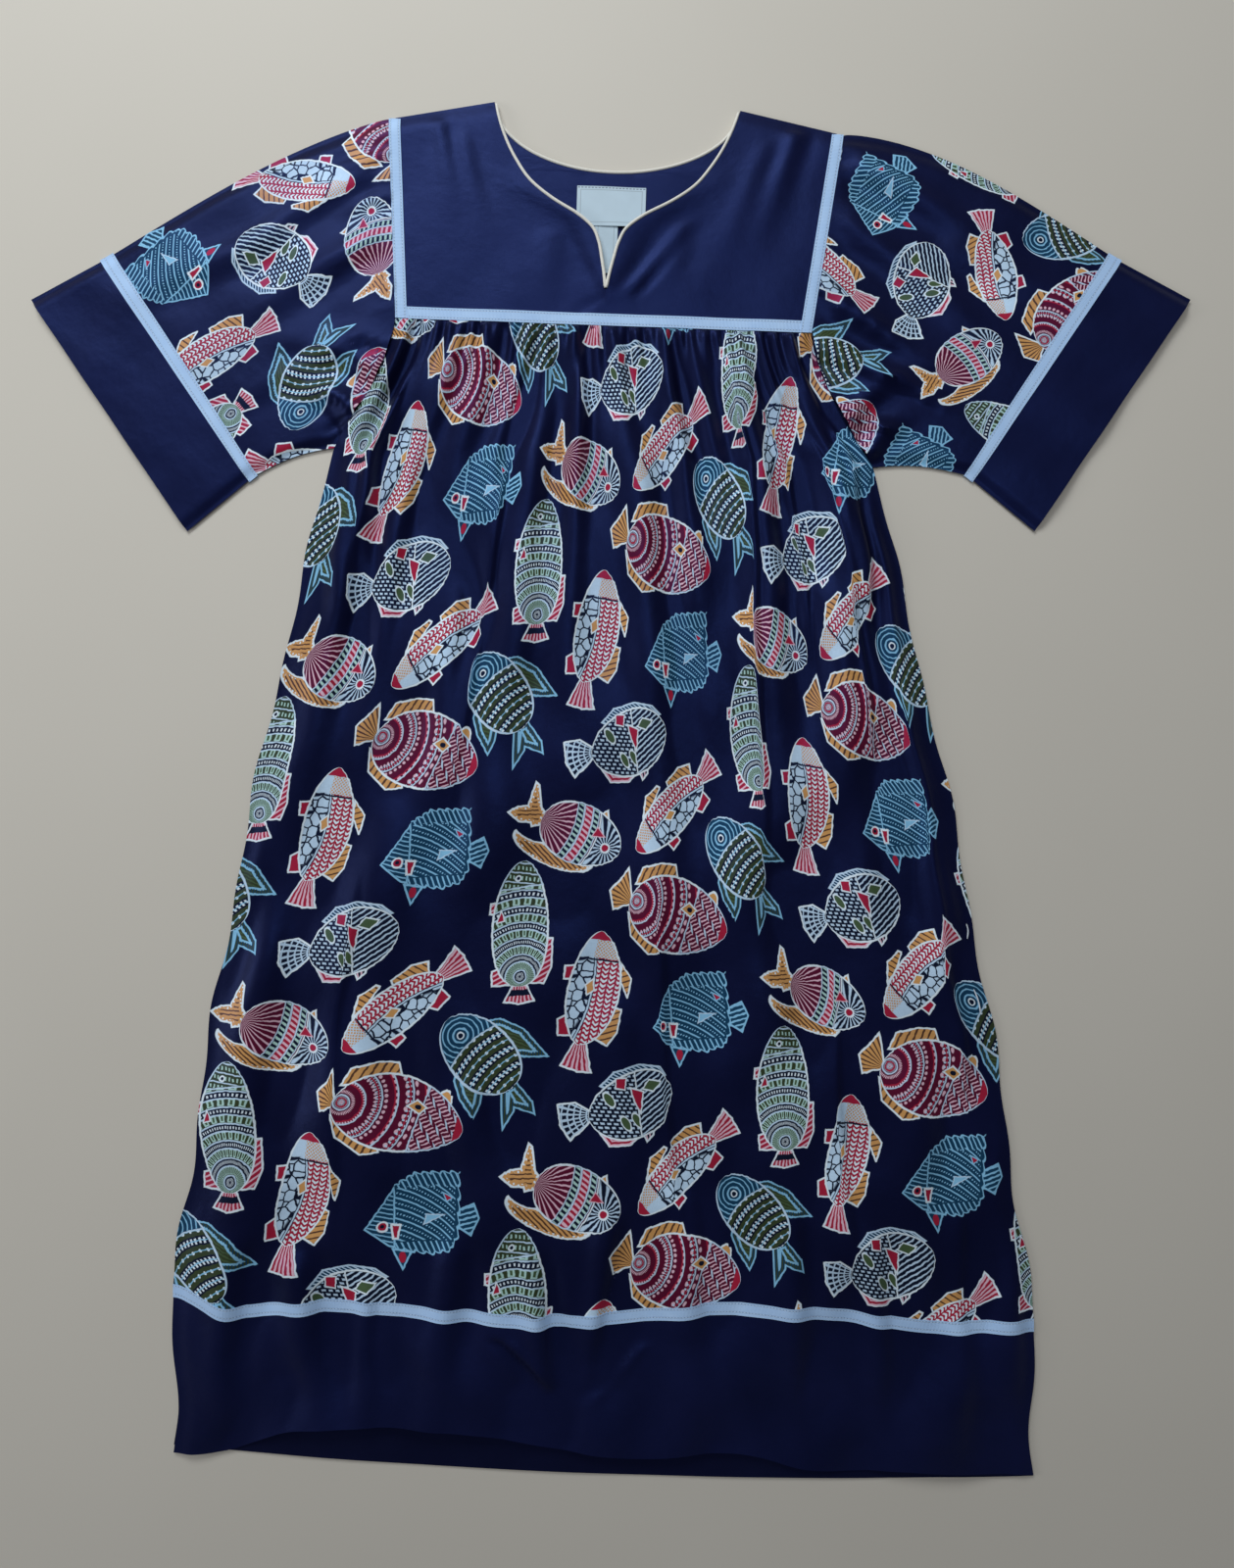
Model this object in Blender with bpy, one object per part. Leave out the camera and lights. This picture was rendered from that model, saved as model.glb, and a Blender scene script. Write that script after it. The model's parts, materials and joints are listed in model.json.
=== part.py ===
"""Short-sleeved yoke dress, laid flat with its front up and its neck towards +Y.

The two layers lie LOFT apart, so that a body can pass from the hem to the neck and the cuffs. Each sewn
piece is one thin closed solid, and a seam is a gap of SEAM_GAP between two of them. Shapes are drawn on a
straight pattern whose neck points lie at y = 0, and lay() then sets the pattern down slightly askew. Each
sleeve folds over the front about a straight crease near its armhole.
"""

import math

import bmesh
import bpy
from mathutils import Vector

# Cloth, seams and the height of the pile
CLOTH = 0.0008
THIN_CLOTH = 0.0005
SEAM_GAP = 0.0003
LOFT = 0.008
EDGE_ROLL = 0.015
EDGE_WALL = 0.004
EDGE_HEIGHT = 2 * CLOTH + SEAM_GAP

# How the dress was put down: the right side hangs lower, and the yoke leans to the right
LAY_TILT = 0.036
YOKE_SKEW = 0.064
BODY_SHIFT = -0.006

# Yoke and neck
NECK_WIDTH = 0.200
SHOULDER_WIDTH = 0.370
SHOULDER_DROP = 0.017
YOKE_LENGTH = 0.1795
YOKE_BASE_WIDTH = 0.338
FRONT_NECK_DEPTH = 0.094
BACK_NECK_DEPTH = 0.0545
SLIT_ABOVE_YOKE_BASE = 0.0285
SLIT_MOUTH_HALF = 0.0105
SLIT_MOUTH_FLARE = 0.0095
SLIT_END_HALF = 0.0032
FACING_WIDTH = 0.040
FACING_BELOW_SLIT = 0.022
PIPING_RADIUS = 0.0012
SHOULDER_CLEARANCE = 0.009
TAPE_WIDTH = 0.0095

# Skirt, pockets and hem
ARMHOLE_DROP = 0.1065
BUST_WIDTH = 0.439
SKIRT_LENGTH = 0.7975
HEM_WIDTH = 0.700
SIDE_BULGE = 0.012
HEM_BAND_DEPTH = 0.1165
BACK_HEM_SAG = 0.011
FRONT_HEM_LIFT = 0.026
FRONT_HEM_LIFT_X = -0.170
FRONT_HEM_LIFT_WIDTH = 0.120
POCKET_TOP_BELOW_YOKE = 0.320
POCKET_LENGTH = 0.260
POCKET_WIDTH = 0.130
POCKET_FROM_SIDE = 0.010

# Sleeves
SLEEVE_LENGTH = 0.248
SLEEVE_DROP_DEG = 25.3
SLEEVE_TOP_RISE = 0.010
CUFF_WIDTH = 0.214
CUFF_SLANT_DEG = 34.0
CUFF_FLARE = 0.006
SLEEVE_BAND_DEPTH = 0.062
CREASE_INSET = 0.014
CREASE_GAP = 0.0006
FOLD_HEIGHT = 0.0095

# Labels on the inside of the back neck
NECK_LABEL_SIZE = (0.056, 0.032)
NECK_LABEL_TOP = 0.066
CARE_LABEL_SIZE = (0.019, 0.070)
CARE_LABEL_X = -0.003
LABEL_CLOTH = 0.0004

SLIT_DEPTH = YOKE_LENGTH - SLIT_ABOVE_YOKE_BASE
YOKE_BASE_Y = -YOKE_LENGTH
YOKE_CLOTH_LENGTH = YOKE_LENGTH - TAPE_WIDTH - SEAM_GAP
UNDERARM_Y = YOKE_BASE_Y - ARMHOLE_DROP
HEM_TAPE_Y = YOKE_BASE_Y - SKIRT_LENGTH
HEM_BAND_Y = HEM_TAPE_Y - TAPE_WIDTH - SEAM_GAP
FACING_Z = CLOTH + SEAM_GAP + THIN_CLOTH
CARE_LABEL_Z = FACING_Z + SEAM_GAP + LABEL_CLOTH
NECK_LABEL_Z = CARE_LABEL_Z + SEAM_GAP + LABEL_CLOTH
POCKET_THICKNESS = 2 * CLOTH

COLOURS = {
    "printed_cotton": (0.035, 0.047, 0.115, 0.55),
    "navy_cotton": (0.011, 0.014, 0.060, 0.50),
    "pale_tape": (0.500, 0.620, 0.800, 0.60),
    "cream_piping": (0.760, 0.740, 0.640, 0.60),
    "white_label": (0.640, 0.740, 0.820, 0.50),
}


def smooth(t):
    t = min(max(t, 0.0), 1.0)
    return t * t * (3.0 - 2.0 * t)


def mix(a, b, t):
    return a + (b - a) * t


def mix_points(a, b, t):
    return (mix(a[0], b[0], t), mix(a[1], b[1], t))


def steps(start, end, count):
    return [mix(start, end, i / count) for i in range(count + 1)]


def loft_height(from_edge):
    """Top of the upper layer at a distance from the nearest folded edge or side seam."""
    return EDGE_HEIGHT + (LOFT - EDGE_HEIGHT) * smooth(from_edge / EDGE_ROLL)


def lay(x, y):
    """Where a point of the straight body pattern lies once the dress is put down."""
    lean = YOKE_SKEW * max(0.0, y - YOKE_BASE_Y)
    return (x + BODY_SHIFT + lean, y - LAY_TILT * x)


# Outlines of the body pattern


def shoulder_y(x):
    """The shoulder line falls from the neck point to the shoulder tip."""
    run = (abs(x) - NECK_WIDTH / 2) / ((SHOULDER_WIDTH - NECK_WIDTH) / 2)
    return -SHOULDER_DROP * max(run, 0.0)


def yoke_half(y):
    return mix(SHOULDER_WIDTH, YOKE_BASE_WIDTH, min(-y / YOKE_LENGTH, 1.0)) / 2


def front_neck_half(depth):
    """Half the width of the front neck opening at a depth below the neck points, slit included."""
    curve = 0.0
    if depth < FRONT_NECK_DEPTH:
        curve = NECK_WIDTH / 2 * (1.0 - (depth / FRONT_NECK_DEPTH) ** 1.8) ** 0.62
    along = min(max((SLIT_DEPTH - depth) / (SLIT_DEPTH - FRONT_NECK_DEPTH), 0.0), 1.0)
    slit = mix(SLIT_END_HALF, SLIT_MOUTH_HALF, along) + SLIT_MOUTH_FLARE * along**8
    return max(curve, slit)


def back_neck_half(depth):
    inside = max(1.0 - (depth / BACK_NECK_DEPTH) ** 2, 0.0)
    return max(NECK_WIDTH / 2 * math.sqrt(inside), SLIT_END_HALF)


def skirt_half(y):
    """Half width of the skirt: the armhole curve above the underarm, the side seam below it."""
    if y > UNDERARM_Y:
        down = (YOKE_BASE_Y - y) / ARMHOLE_DROP
        return mix(YOKE_BASE_WIDTH, BUST_WIDTH, max(down, 0.0) ** 1.5) / 2
    down = (UNDERARM_Y - y) / (UNDERARM_Y - HEM_TAPE_Y)
    bulge = SIDE_BULGE * math.sin(math.pi * min(down, 1.0))
    return mix(BUST_WIDTH, HEM_WIDTH, min(down, 1.0)) / 2 + bulge


def back_hem_y(x):
    return HEM_BAND_Y - HEM_BAND_DEPTH - BACK_HEM_SAG * (1.0 - (2 * x / HEM_WIDTH) ** 2)


def front_hem_y(x):
    """The front hem is drawn up on one side, so that the inside of the back band shows below it."""
    lift = FRONT_HEM_LIFT * math.exp(-(((x - FRONT_HEM_LIFT_X) / FRONT_HEM_LIFT_WIDTH) ** 2))
    end = 1.0 - abs(2 * x / HEM_WIDTH) ** 6
    return HEM_BAND_Y - HEM_BAND_DEPTH + lift * end


# Solids


def make_material(kind):
    red, green, blue, roughness = COLOURS[kind]
    material = bpy.data.materials.new(kind)
    material.use_nodes = True
    shader = material.node_tree.nodes["Principled BSDF"]
    shader.inputs["Base Color"].default_value = (red, green, blue, 1.0)
    shader.inputs["Roughness"].default_value = roughness
    shader.inputs["Metallic"].default_value = 0.0
    material.diffuse_color = (red, green, blue, 1.0)
    return material


def make_object(name, points, faces, kind):
    """One closed solid with its faces out and its origin in the middle of its box."""
    low = Vector([min(p[i] for p in points) for i in range(3)])
    high = Vector([max(p[i] for p in points) for i in range(3)])
    middle = (low + high) / 2
    mesh = bpy.data.meshes.new(name)
    mesh.from_pydata([Vector(p) - middle for p in points], [], faces)
    shape = bmesh.new()
    shape.from_mesh(mesh)
    bmesh.ops.recalc_face_normals(shape, faces=shape.faces)
    shape.to_mesh(mesh)
    shape.free()
    mesh.materials.append(make_material(kind))
    made = bpy.data.objects.new(name, mesh)
    made.location = middle
    bpy.context.scene.collection.objects.link(made)
    return made


def sheet(name, rows, top, thickness, kind, skipped=None):
    """A sheet of cloth on rows of pattern points, with top(x, y) as its upper side."""
    wide = len(rows[0])
    upper = [(*lay(x, y), top(x, y)) for row in rows for x, y in row]
    count = len(upper)
    quads = []
    for r in range(len(rows) - 1):
        for c in range(wide - 1):
            if skipped is None or not skipped(r, c):
                first = r * wide + c
                quads.append((first, first + 1, first + 1 + wide, first + wide))
    directed = {(q[i], q[(i + 1) % 4]) for q in quads for i in range(4)}
    rim = [(a, b) for a, b in directed if (b, a) not in directed]
    walls = [(b, a, a + count, b + count) for a, b in sorted(rim)]
    under = [tuple(i + count for i in reversed(q)) for q in quads]
    lower = [(x, y, z - thickness) for x, y, z in upper]
    return make_object(name, upper + lower, quads + under + walls, kind)


def wrap(name, stations, kind, closed):
    """Cloth that runs over the front, round a folded edge and back underneath.

    Each station is a function of t from one edge of the flat piece to the other. A closed piece is a
    flattened tube with two folded edges. An open one is folded only where t is 1.
    """
    outer = []
    inner = []
    for station in stations:
        length = (Vector(station(1.0)) - Vector(station(0.0))).length
        shares = edge_shares(length)
        wall = EDGE_WALL / length
        first = wall if closed else 0.0
        over = []
        lining = []
        for t in shares:
            from_edge = length * (min(t, 1.0 - t) if closed else 1.0 - t)
            held = min(max(t, first), 1.0 - wall)
            held_from_edge = length * (min(held, 1.0 - held) if closed else 1.0 - held)
            over.append((*station(t), loft_height(from_edge)))
            lining.append((*station(held), loft_height(held_from_edge) - CLOTH))
        for t in reversed(shares):
            held = min(max(t, first), 1.0 - wall)
            over.append((*station(t), 0.0))
            lining.append((*station(held), CLOTH))
        outer.append(over)
        inner.append(lining)
    return loft(name, outer, inner, kind, closed)


def edge_shares(length):
    """Shares of a line's length at which its points lie: close together where the cloth rolls over."""
    rolled = [EDGE_ROLL * share for share in (0.0, 0.32, 0.55, 0.78, 1.0)]
    middle = steps(rolled[-1], length - rolled[-1], 5)[1:-1]
    return [d / length for d in rolled + middle + [length - d for d in reversed(rolled)]]


def loft(name, outer, inner, kind, closed):
    """The solid between an outer and an inner skin, each a list of rows of points."""
    wide = len(outer[0])
    tall = len(outer)
    points = [p for row in outer for p in row] + [p for row in inner for p in row]
    count = wide * tall
    around = range(wide if closed else wide - 1)
    faces = []
    for r in range(tall - 1):
        for c in around:
            a = r * wide + c
            b = r * wide + (c + 1) % wide
            faces.append((a, b, b + wide, a + wide))
            faces.append((a + count + wide, b + count + wide, b + count, a + count))
    for r in (0, tall - 1):
        for c in around:
            a = r * wide + c
            b = r * wide + (c + 1) % wide
            faces.append((b, a, a + count, b + count))
    if not closed:
        for c in (0, wide - 1):
            for r in range(tall - 1):
                a = r * wide + c
                faces.append((a, a + wide, a + wide + count, a + count))
    return make_object(name, points, faces, kind)


def tube(name, path, radius, kind, sides=8):
    """A round cord along an open path of points."""
    points = []
    for i, here in enumerate(path):
        before = path[max(i - 1, 0)]
        after = path[min(i + 1, len(path) - 1)]
        along = (Vector(after) - Vector(before)).normalized()
        side = along.cross(Vector((0.0, 0.0, 1.0))).normalized()
        rise = side.cross(along)
        for k in range(sides):
            turn = 2 * math.pi * k / sides
            points.append(Vector(here) + radius * (math.cos(turn) * side + math.sin(turn) * rise))
    faces = []
    for i in range(len(path) - 1):
        for k in range(sides):
            a = i * sides + k
            b = i * sides + (k + 1) % sides
            faces.append((a, b, b + sides, a + sides))
    faces.append(tuple(range(sides)))
    faces.append(tuple(range((len(path) - 1) * sides, len(path) * sides)))
    return make_object(name, points, faces, kind)


# Yoke, facings, piping and labels


def front_neck_depths():
    """Depths of the rows along the front neckline, from below the slit to the shoulder."""
    curve = [FRONT_NECK_DEPTH * math.sin(math.pi / 2 * t) for t in steps(1.0, 0.0, 10)]
    return steps(SLIT_DEPTH, FRONT_NECK_DEPTH, 5)[:-1] + curve


def back_neck_depths():
    return [BACK_NECK_DEPTH * math.sin(math.pi / 2 * t) for t in steps(1.0, 0.0, 10)]


def yoke_row_y(x, depth):
    """A row follows the shoulder line at the top and is level at the base."""
    return -depth + shoulder_y(x) * (1.0 - depth / YOKE_CLOTH_LENGTH)


def open_rows(depths, neck_half, outer_half, columns):
    """Rows with a left and a right run of points, either side of the neck opening."""
    rows = []
    for depth in depths:
        left = []
        for t in steps(0.0, 1.0, columns):
            x = mix(-outer_half(depth), -neck_half(depth), t)
            left.append((x, yoke_row_y(x, depth)))
        rows.append(left + [(-x, y) for x, y in reversed(left)])
    return rows


def yoke_panel(name, depths, neck_half, top):
    below = steps(YOKE_CLOTH_LENGTH, depths[0], 3)[:-1]
    columns = 8

    def outer_half(depth):
        return yoke_half(-depth) - TAPE_WIDTH - SEAM_GAP

    rows = open_rows(below + depths, neck_half, outer_half, columns)
    return sheet(
        name, rows, top, CLOTH, "navy_cotton",
        skipped=lambda r, c: r >= len(below) and c == columns,
    )


def yoke_top(x, y):
    return loft_height(shoulder_y(x) - y)


def make_yoke_panels():
    yoke_panel("front_yoke", front_neck_depths(), front_neck_half, yoke_top)
    yoke_panel("back_yoke", back_neck_depths(), back_neck_half, lambda x, y: CLOTH)


def make_facings():
    """A facing follows the neckline inside each yoke panel, FACING_WIDTH wide."""
    front = [d for d in front_neck_depths() if d > SHOULDER_CLEARANCE]
    below = steps(SLIT_DEPTH + FACING_BELOW_SLIT, SLIT_DEPTH, 2)[:-1]
    rows = open_rows(below + front, front_neck_half, facing_half(front_neck_half, SLIT_DEPTH), 3)
    sheet(
        "front_neck_facing", rows, lambda x, y: yoke_top(x, y) - CLOTH - SEAM_GAP,
        THIN_CLOTH, "navy_cotton", skipped=lambda r, c: r >= len(below) and c == 3,
    )
    back = [d for d in back_neck_depths() if d > SHOULDER_CLEARANCE]
    below = steps(BACK_NECK_DEPTH + FACING_WIDTH, BACK_NECK_DEPTH, 3)[:-1]
    rows = open_rows(below + back, back_neck_half, facing_half(back_neck_half, BACK_NECK_DEPTH), 3)
    sheet(
        "back_neck_facing", rows, lambda x, y: FACING_Z,
        THIN_CLOTH, "navy_cotton", skipped=lambda r, c: r >= len(below) and c == 3,
    )


def facing_half(neck_half, lowest):
    def outer_half(depth):
        return min(neck_half(min(depth, lowest)) + FACING_WIDTH, yoke_half(-depth) - TAPE_WIDTH)

    return outer_half


def inset_path(path, distance):
    """A flat path moved sideways to its right by a distance."""
    moved = []
    for i, (x, y) in enumerate(path):
        before = Vector(path[max(i - 1, 0)])
        after = Vector(path[min(i + 1, len(path) - 1)])
        into = Vector((x, y)) - before
        out = after - Vector((x, y))
        into = (into if into.length > 0 else out).normalized()
        out = (out if out.length > 0 else into).normalized()
        bisector = Vector((into.y + out.y, -into.x - out.x)).normalized()
        reach = distance / max(bisector.dot(Vector((into.y, -into.x))), 0.5)
        moved.append((x + reach * bisector.x, y + reach * bisector.y))
    return moved


def make_piping():
    """Piping lies along the neckline's edge, on the front with the slit and on the back."""
    offset = PIPING_RADIUS + SEAM_GAP
    right = []
    for depth in front_neck_depths():
        half = front_neck_half(depth)
        right.append((half, yoke_row_y(half, depth)))
    front = [(-x, y) for x, y in reversed(right)] + right
    front = inset_path(front, -offset)
    middle = CLOTH / 2
    tube("front_neck_piping", laid_path(front, lambda x, y: yoke_top(x, y) - middle),
         PIPING_RADIUS, "cream_piping")
    turns = steps(0.0, math.pi, 20)
    edge = [(-NECK_WIDTH / 2 * math.cos(a), -BACK_NECK_DEPTH * math.sin(a)) for a in turns]
    back = [p for p in inset_path(edge, -offset) if -p[1] > SHOULDER_CLEARANCE]
    tube("back_neck_piping", laid_path(back, lambda x, y: PIPING_RADIUS),
         PIPING_RADIUS, "cream_piping")


def laid_path(path, height):
    return [(*lay(x, y), height(x, y)) for x, y in path]


def make_yoke_tapes():
    """Side tapes run over the shoulders from front to back, and a tape closes each yoke's base."""
    for side, word in ((-1, "left"), (1, "right")):
        stations = [side_tape_line(side, 0.0), side_tape_line(side, TAPE_WIDTH)]
        wrap(f"{word}_yoke_tape", stations, "pale_tape", closed=False)
    for name, top in (("front_yoke_tape", LOFT), ("back_yoke_tape", CLOTH)):
        rows = []
        for y in (YOKE_BASE_Y, YOKE_BASE_Y + TAPE_WIDTH):
            half = yoke_half(y) - TAPE_WIDTH - SEAM_GAP
            rows.append([(x, y) for x in steps(-half, half, 6)])
        sheet(name, rows, lambda x, y, z=top: z, CLOTH, "pale_tape")


def side_tape_line(side, inset):
    """A line up the side of the yoke, from its base to the shoulder."""
    base = (side * (yoke_half(YOKE_BASE_Y) - inset), YOKE_BASE_Y)
    x = SHOULDER_WIDTH / 2 - inset
    tip = (side * x, shoulder_y(x))

    def station(t):
        return lay(*mix_points(base, tip, t))

    return station


def make_labels():
    """Blank woven labels, sewn by their top edge to the inside of the back neck."""
    for name, size, x, z in (
        ("care_label", CARE_LABEL_SIZE, CARE_LABEL_X, CARE_LABEL_Z),
        ("neck_label", NECK_LABEL_SIZE, 0.0, NECK_LABEL_Z),
    ):
        rows = []
        for y in (-NECK_LABEL_TOP - size[1], -NECK_LABEL_TOP):
            rows.append([(x - size[0] / 2, y), (x + size[0] / 2, y)])
        sheet(name, rows, lambda x, y, top=z: top, LABEL_CLOTH, "white_label")


# Skirt, pockets and hem


def skirt_rows(levels):
    rows = []
    for y in levels:
        half = skirt_half(y)
        rows.append([(mix(-half, half, t), y) for t in edge_shares(2 * half)])
    return rows


def skirt_top(x, y):
    """The upper layer comes down to the lower one along each side seam, up to the underarm."""
    half = skirt_half(min(y, UNDERARM_Y))
    sideways = half - abs(x)
    if y <= UNDERARM_Y:
        return loft_height(sideways)
    return loft_height(math.hypot(sideways, y - UNDERARM_Y))


def make_skirt_panels():
    top = YOKE_BASE_Y - SEAM_GAP
    levels = steps(HEM_TAPE_Y, UNDERARM_Y, 8) + steps(UNDERARM_Y, top, 7)[1:]
    sheet("front_skirt", skirt_rows(levels), skirt_top, CLOTH, "printed_cotton")
    sheet("back_skirt", skirt_rows(levels), lambda x, y: CLOTH, CLOTH, "printed_cotton")


def make_pockets():
    """A flat bag hangs inside each side seam, its two layers lying together."""
    top = YOKE_BASE_Y - POCKET_TOP_BELOW_YOKE
    for side, word in ((-1, "left"), (1, "right")):
        rows = []
        for t in steps(0.0, 1.0, 8):
            y = top - POCKET_LENGTH * (1.0 - t)
            outside = skirt_half(y) - POCKET_FROM_SIDE
            bow = math.sin(math.pi * min(max(t * 0.8 + 0.16, 0.0), 1.0)) ** 0.5
            inside = outside - POCKET_WIDTH * bow
            ends = sorted((side * inside, side * outside))
            rows.append([(x, y) for x in steps(*ends, 3)])
        sheet(f"{word}_pocket_bag", rows, lambda x, y: CLOTH + SEAM_GAP + POCKET_THICKNESS,
              POCKET_THICKNESS, "navy_cotton")


def make_hem():
    """A tape round the whole hem, then a deep plain band on the front and on the back."""
    lines = [hem_line(HEM_TAPE_Y - SEAM_GAP), hem_line(HEM_TAPE_Y - TAPE_WIDTH)]
    wrap("hem_tape", lines, "pale_tape", closed=True)
    for name, hem_y, top in (
        ("front_hem_band", front_hem_y, skirt_top),
        ("back_hem_band", back_hem_y, lambda x, y: CLOTH),
    ):
        rows = []
        for t in steps(1.0, 0.0, 3):
            half = HEM_WIDTH / 2
            xs = [mix(-half, half, s) for s in hem_shares()]
            rows.append([(x, mix(HEM_BAND_Y, hem_y(x), t)) for x in xs])
        sheet(name, rows, top, CLOTH, "navy_cotton")


def hem_shares():
    """As edge_shares, with enough points between to follow the curve of the hem."""
    rolled = [EDGE_ROLL * share for share in (0.0, 0.32, 0.55, 0.78, 1.0)]
    middle = steps(rolled[-1], HEM_WIDTH - rolled[-1], 14)[1:-1]
    return [d / HEM_WIDTH for d in rolled + middle + [HEM_WIDTH - d for d in reversed(rolled)]]


def hem_line(y):
    half = skirt_half(y)

    def station(t):
        return lay(mix(-half, half, t), y)

    return station


# Sleeves


def along_line(start, end, distance):
    a = Vector(start)
    b = Vector(end)
    return tuple(a + (b - a).normalized() * distance)


def sleeve_corners(side):
    """The armhole's two ends on the laid body, and the cuff tape's two ends."""
    tip = lay(side * SHOULDER_WIDTH / 2, shoulder_y(SHOULDER_WIDTH / 2))
    underarm = lay(side * BUST_WIDTH / 2, UNDERARM_Y)
    drop = math.radians(SLEEVE_DROP_DEG)
    slant = math.radians(CUFF_SLANT_DEG)
    x = SHOULDER_WIDTH / 2 + SLEEVE_LENGTH * math.cos(drop)
    y = -SHOULDER_DROP - SLEEVE_LENGTH * math.sin(drop)
    cuff_top = (side * x, y)
    cuff_base = (side * (x - CUFF_WIDTH * math.sin(slant)), y - CUFF_WIDTH * math.cos(slant))
    return tip, underarm, cuff_top, cuff_base


def crease_ends(side):
    tip, underarm, cuff_top, cuff_base = sleeve_corners(side)
    return along_line(tip, cuff_top, CREASE_INSET), along_line(underarm, cuff_base, CREASE_INSET)


def moved_line(start, end, distance):
    """A straight station parallel to start-end, moved sideways to its left by a distance."""
    run = (Vector(end) - Vector(start)).normalized()
    shift = Vector((-run.y, run.x)) * distance

    def station(t):
        return tuple(Vector(mix_points(start, end, t)) + shift)

    return station


def armhole_line(side):
    """Round the armhole: down the yoke's tape, then along the skirt's armhole curve."""
    straight = YOKE_LENGTH - SHOULDER_DROP
    share = straight / (straight + ARMHOLE_DROP)

    def station(t):
        if t < share:
            base = YOKE_BASE_WIDTH / 2
            x = mix(SHOULDER_WIDTH / 2, base, t / share)
            y = mix(-SHOULDER_DROP, YOKE_BASE_Y, t / share)
        else:
            y = mix(YOKE_BASE_Y, UNDERARM_Y, (t - share) / (1.0 - share))
            x = skirt_half(y + 1e-9)
        return lay(side * (x + SEAM_GAP / math.cos(math.radians(30))), y)

    return station


def make_sleeve_cap(side, word):
    start, end = crease_ends(side)
    crease = moved_line(start, end, -side * CREASE_GAP / 2)
    armhole = armhole_line(side)
    half_way = blended_line(armhole, crease, 0.5)
    return wrap(f"{word}_sleeve_cap", [armhole, half_way, crease], "printed_cotton", closed=True)


def blended_line(first, second, share):
    def station(t):
        return mix_points(first(t), second(t), share)

    return station


def make_sleeve(side, word):
    """Printed sleeve from the crease to the cuff tape, with a gently rising top edge."""
    start, end = crease_ends(side)
    cuff_top, cuff_base = sleeve_corners(side)[2:]
    crease = moved_line(start, end, side * CREASE_GAP / 2)
    cuff = moved_line(cuff_top, cuff_base, -side * SEAM_GAP)
    stations = []
    for share in steps(0.0, 1.0, 4):
        rise = SLEEVE_TOP_RISE * math.sin(math.pi * share)
        stations.append(raised_line(blended_line(crease, cuff, share), rise))
    return wrap(f"{word}_sleeve", stations, "printed_cotton", closed=True)


def raised_line(line, rise):
    def station(t):
        x, y = line(t)
        return (x, y + rise * (1.0 - t))

    return station


def make_cuff(side, word):
    """The tape and the deep plain band round the end of a sleeve."""
    cuff_top, cuff_base = sleeve_corners(side)[2:]
    outward = side
    tape = [moved_line(cuff_top, cuff_base, outward * d) for d in (0.0, TAPE_WIDTH)]
    made = [wrap(f"{word}_sleeve_tape", tape, "pale_tape", closed=True)]
    top = TAPE_WIDTH + SEAM_GAP
    flared_top = along_line(cuff_top, cuff_base, -CUFF_FLARE)
    flared_base = along_line(cuff_base, cuff_top, -CUFF_FLARE)
    band = [
        moved_line(cuff_top, cuff_base, outward * top),
        moved_line(flared_top, flared_base, outward * (top + SLEEVE_BAND_DEPTH)),
    ]
    made.append(wrap(f"{word}_sleeve_band", band, "navy_cotton", closed=True))
    return made


def make_sleeves():
    for side, word in ((-1, "left"), (1, "right")):
        make_sleeve_cap(side, word)
        start, end = crease_ends(side)
        crease = bpy.data.objects.new(f"{word}_sleeve_crease", None)
        crease.location = (*mix_points(start, end, 0.5), FOLD_HEIGHT)
        bpy.context.scene.collection.objects.link(crease)
        bpy.context.view_layer.update()
        for piece in [make_sleeve(side, word)] + make_cuff(side, word):
            piece.parent = crease
            piece.matrix_parent_inverse = crease.matrix_world.inverted()


def clear_scene():
    for existing in list(bpy.data.objects):
        bpy.data.objects.remove(existing, do_unlink=True)


def centre_on_origin():
    """Moves the dress so that the middle of its footprint lies at the origin."""
    bpy.context.view_layer.update()
    corners = []
    for piece in bpy.data.objects:
        if piece.type == "MESH":
            corners += [piece.matrix_world @ Vector(c) for c in piece.bound_box]
    middle = Vector((0.0, 0.0, 0.0))
    for axis in (0, 1):
        middle[axis] = (min(c[axis] for c in corners) + max(c[axis] for c in corners)) / 2
    for piece in bpy.data.objects:
        if piece.parent is None:
            piece.location -= middle
    bpy.context.view_layer.update()


def main():
    clear_scene()
    make_yoke_panels()
    make_facings()
    make_piping()
    make_yoke_tapes()
    make_labels()
    make_skirt_panels()
    make_pockets()
    make_hem()
    make_sleeves()
    centre_on_origin()


main()
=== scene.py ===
"""Looks of the yoke dress: draped cloth, printed fish, tapes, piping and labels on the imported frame."""

import json
import math

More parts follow.
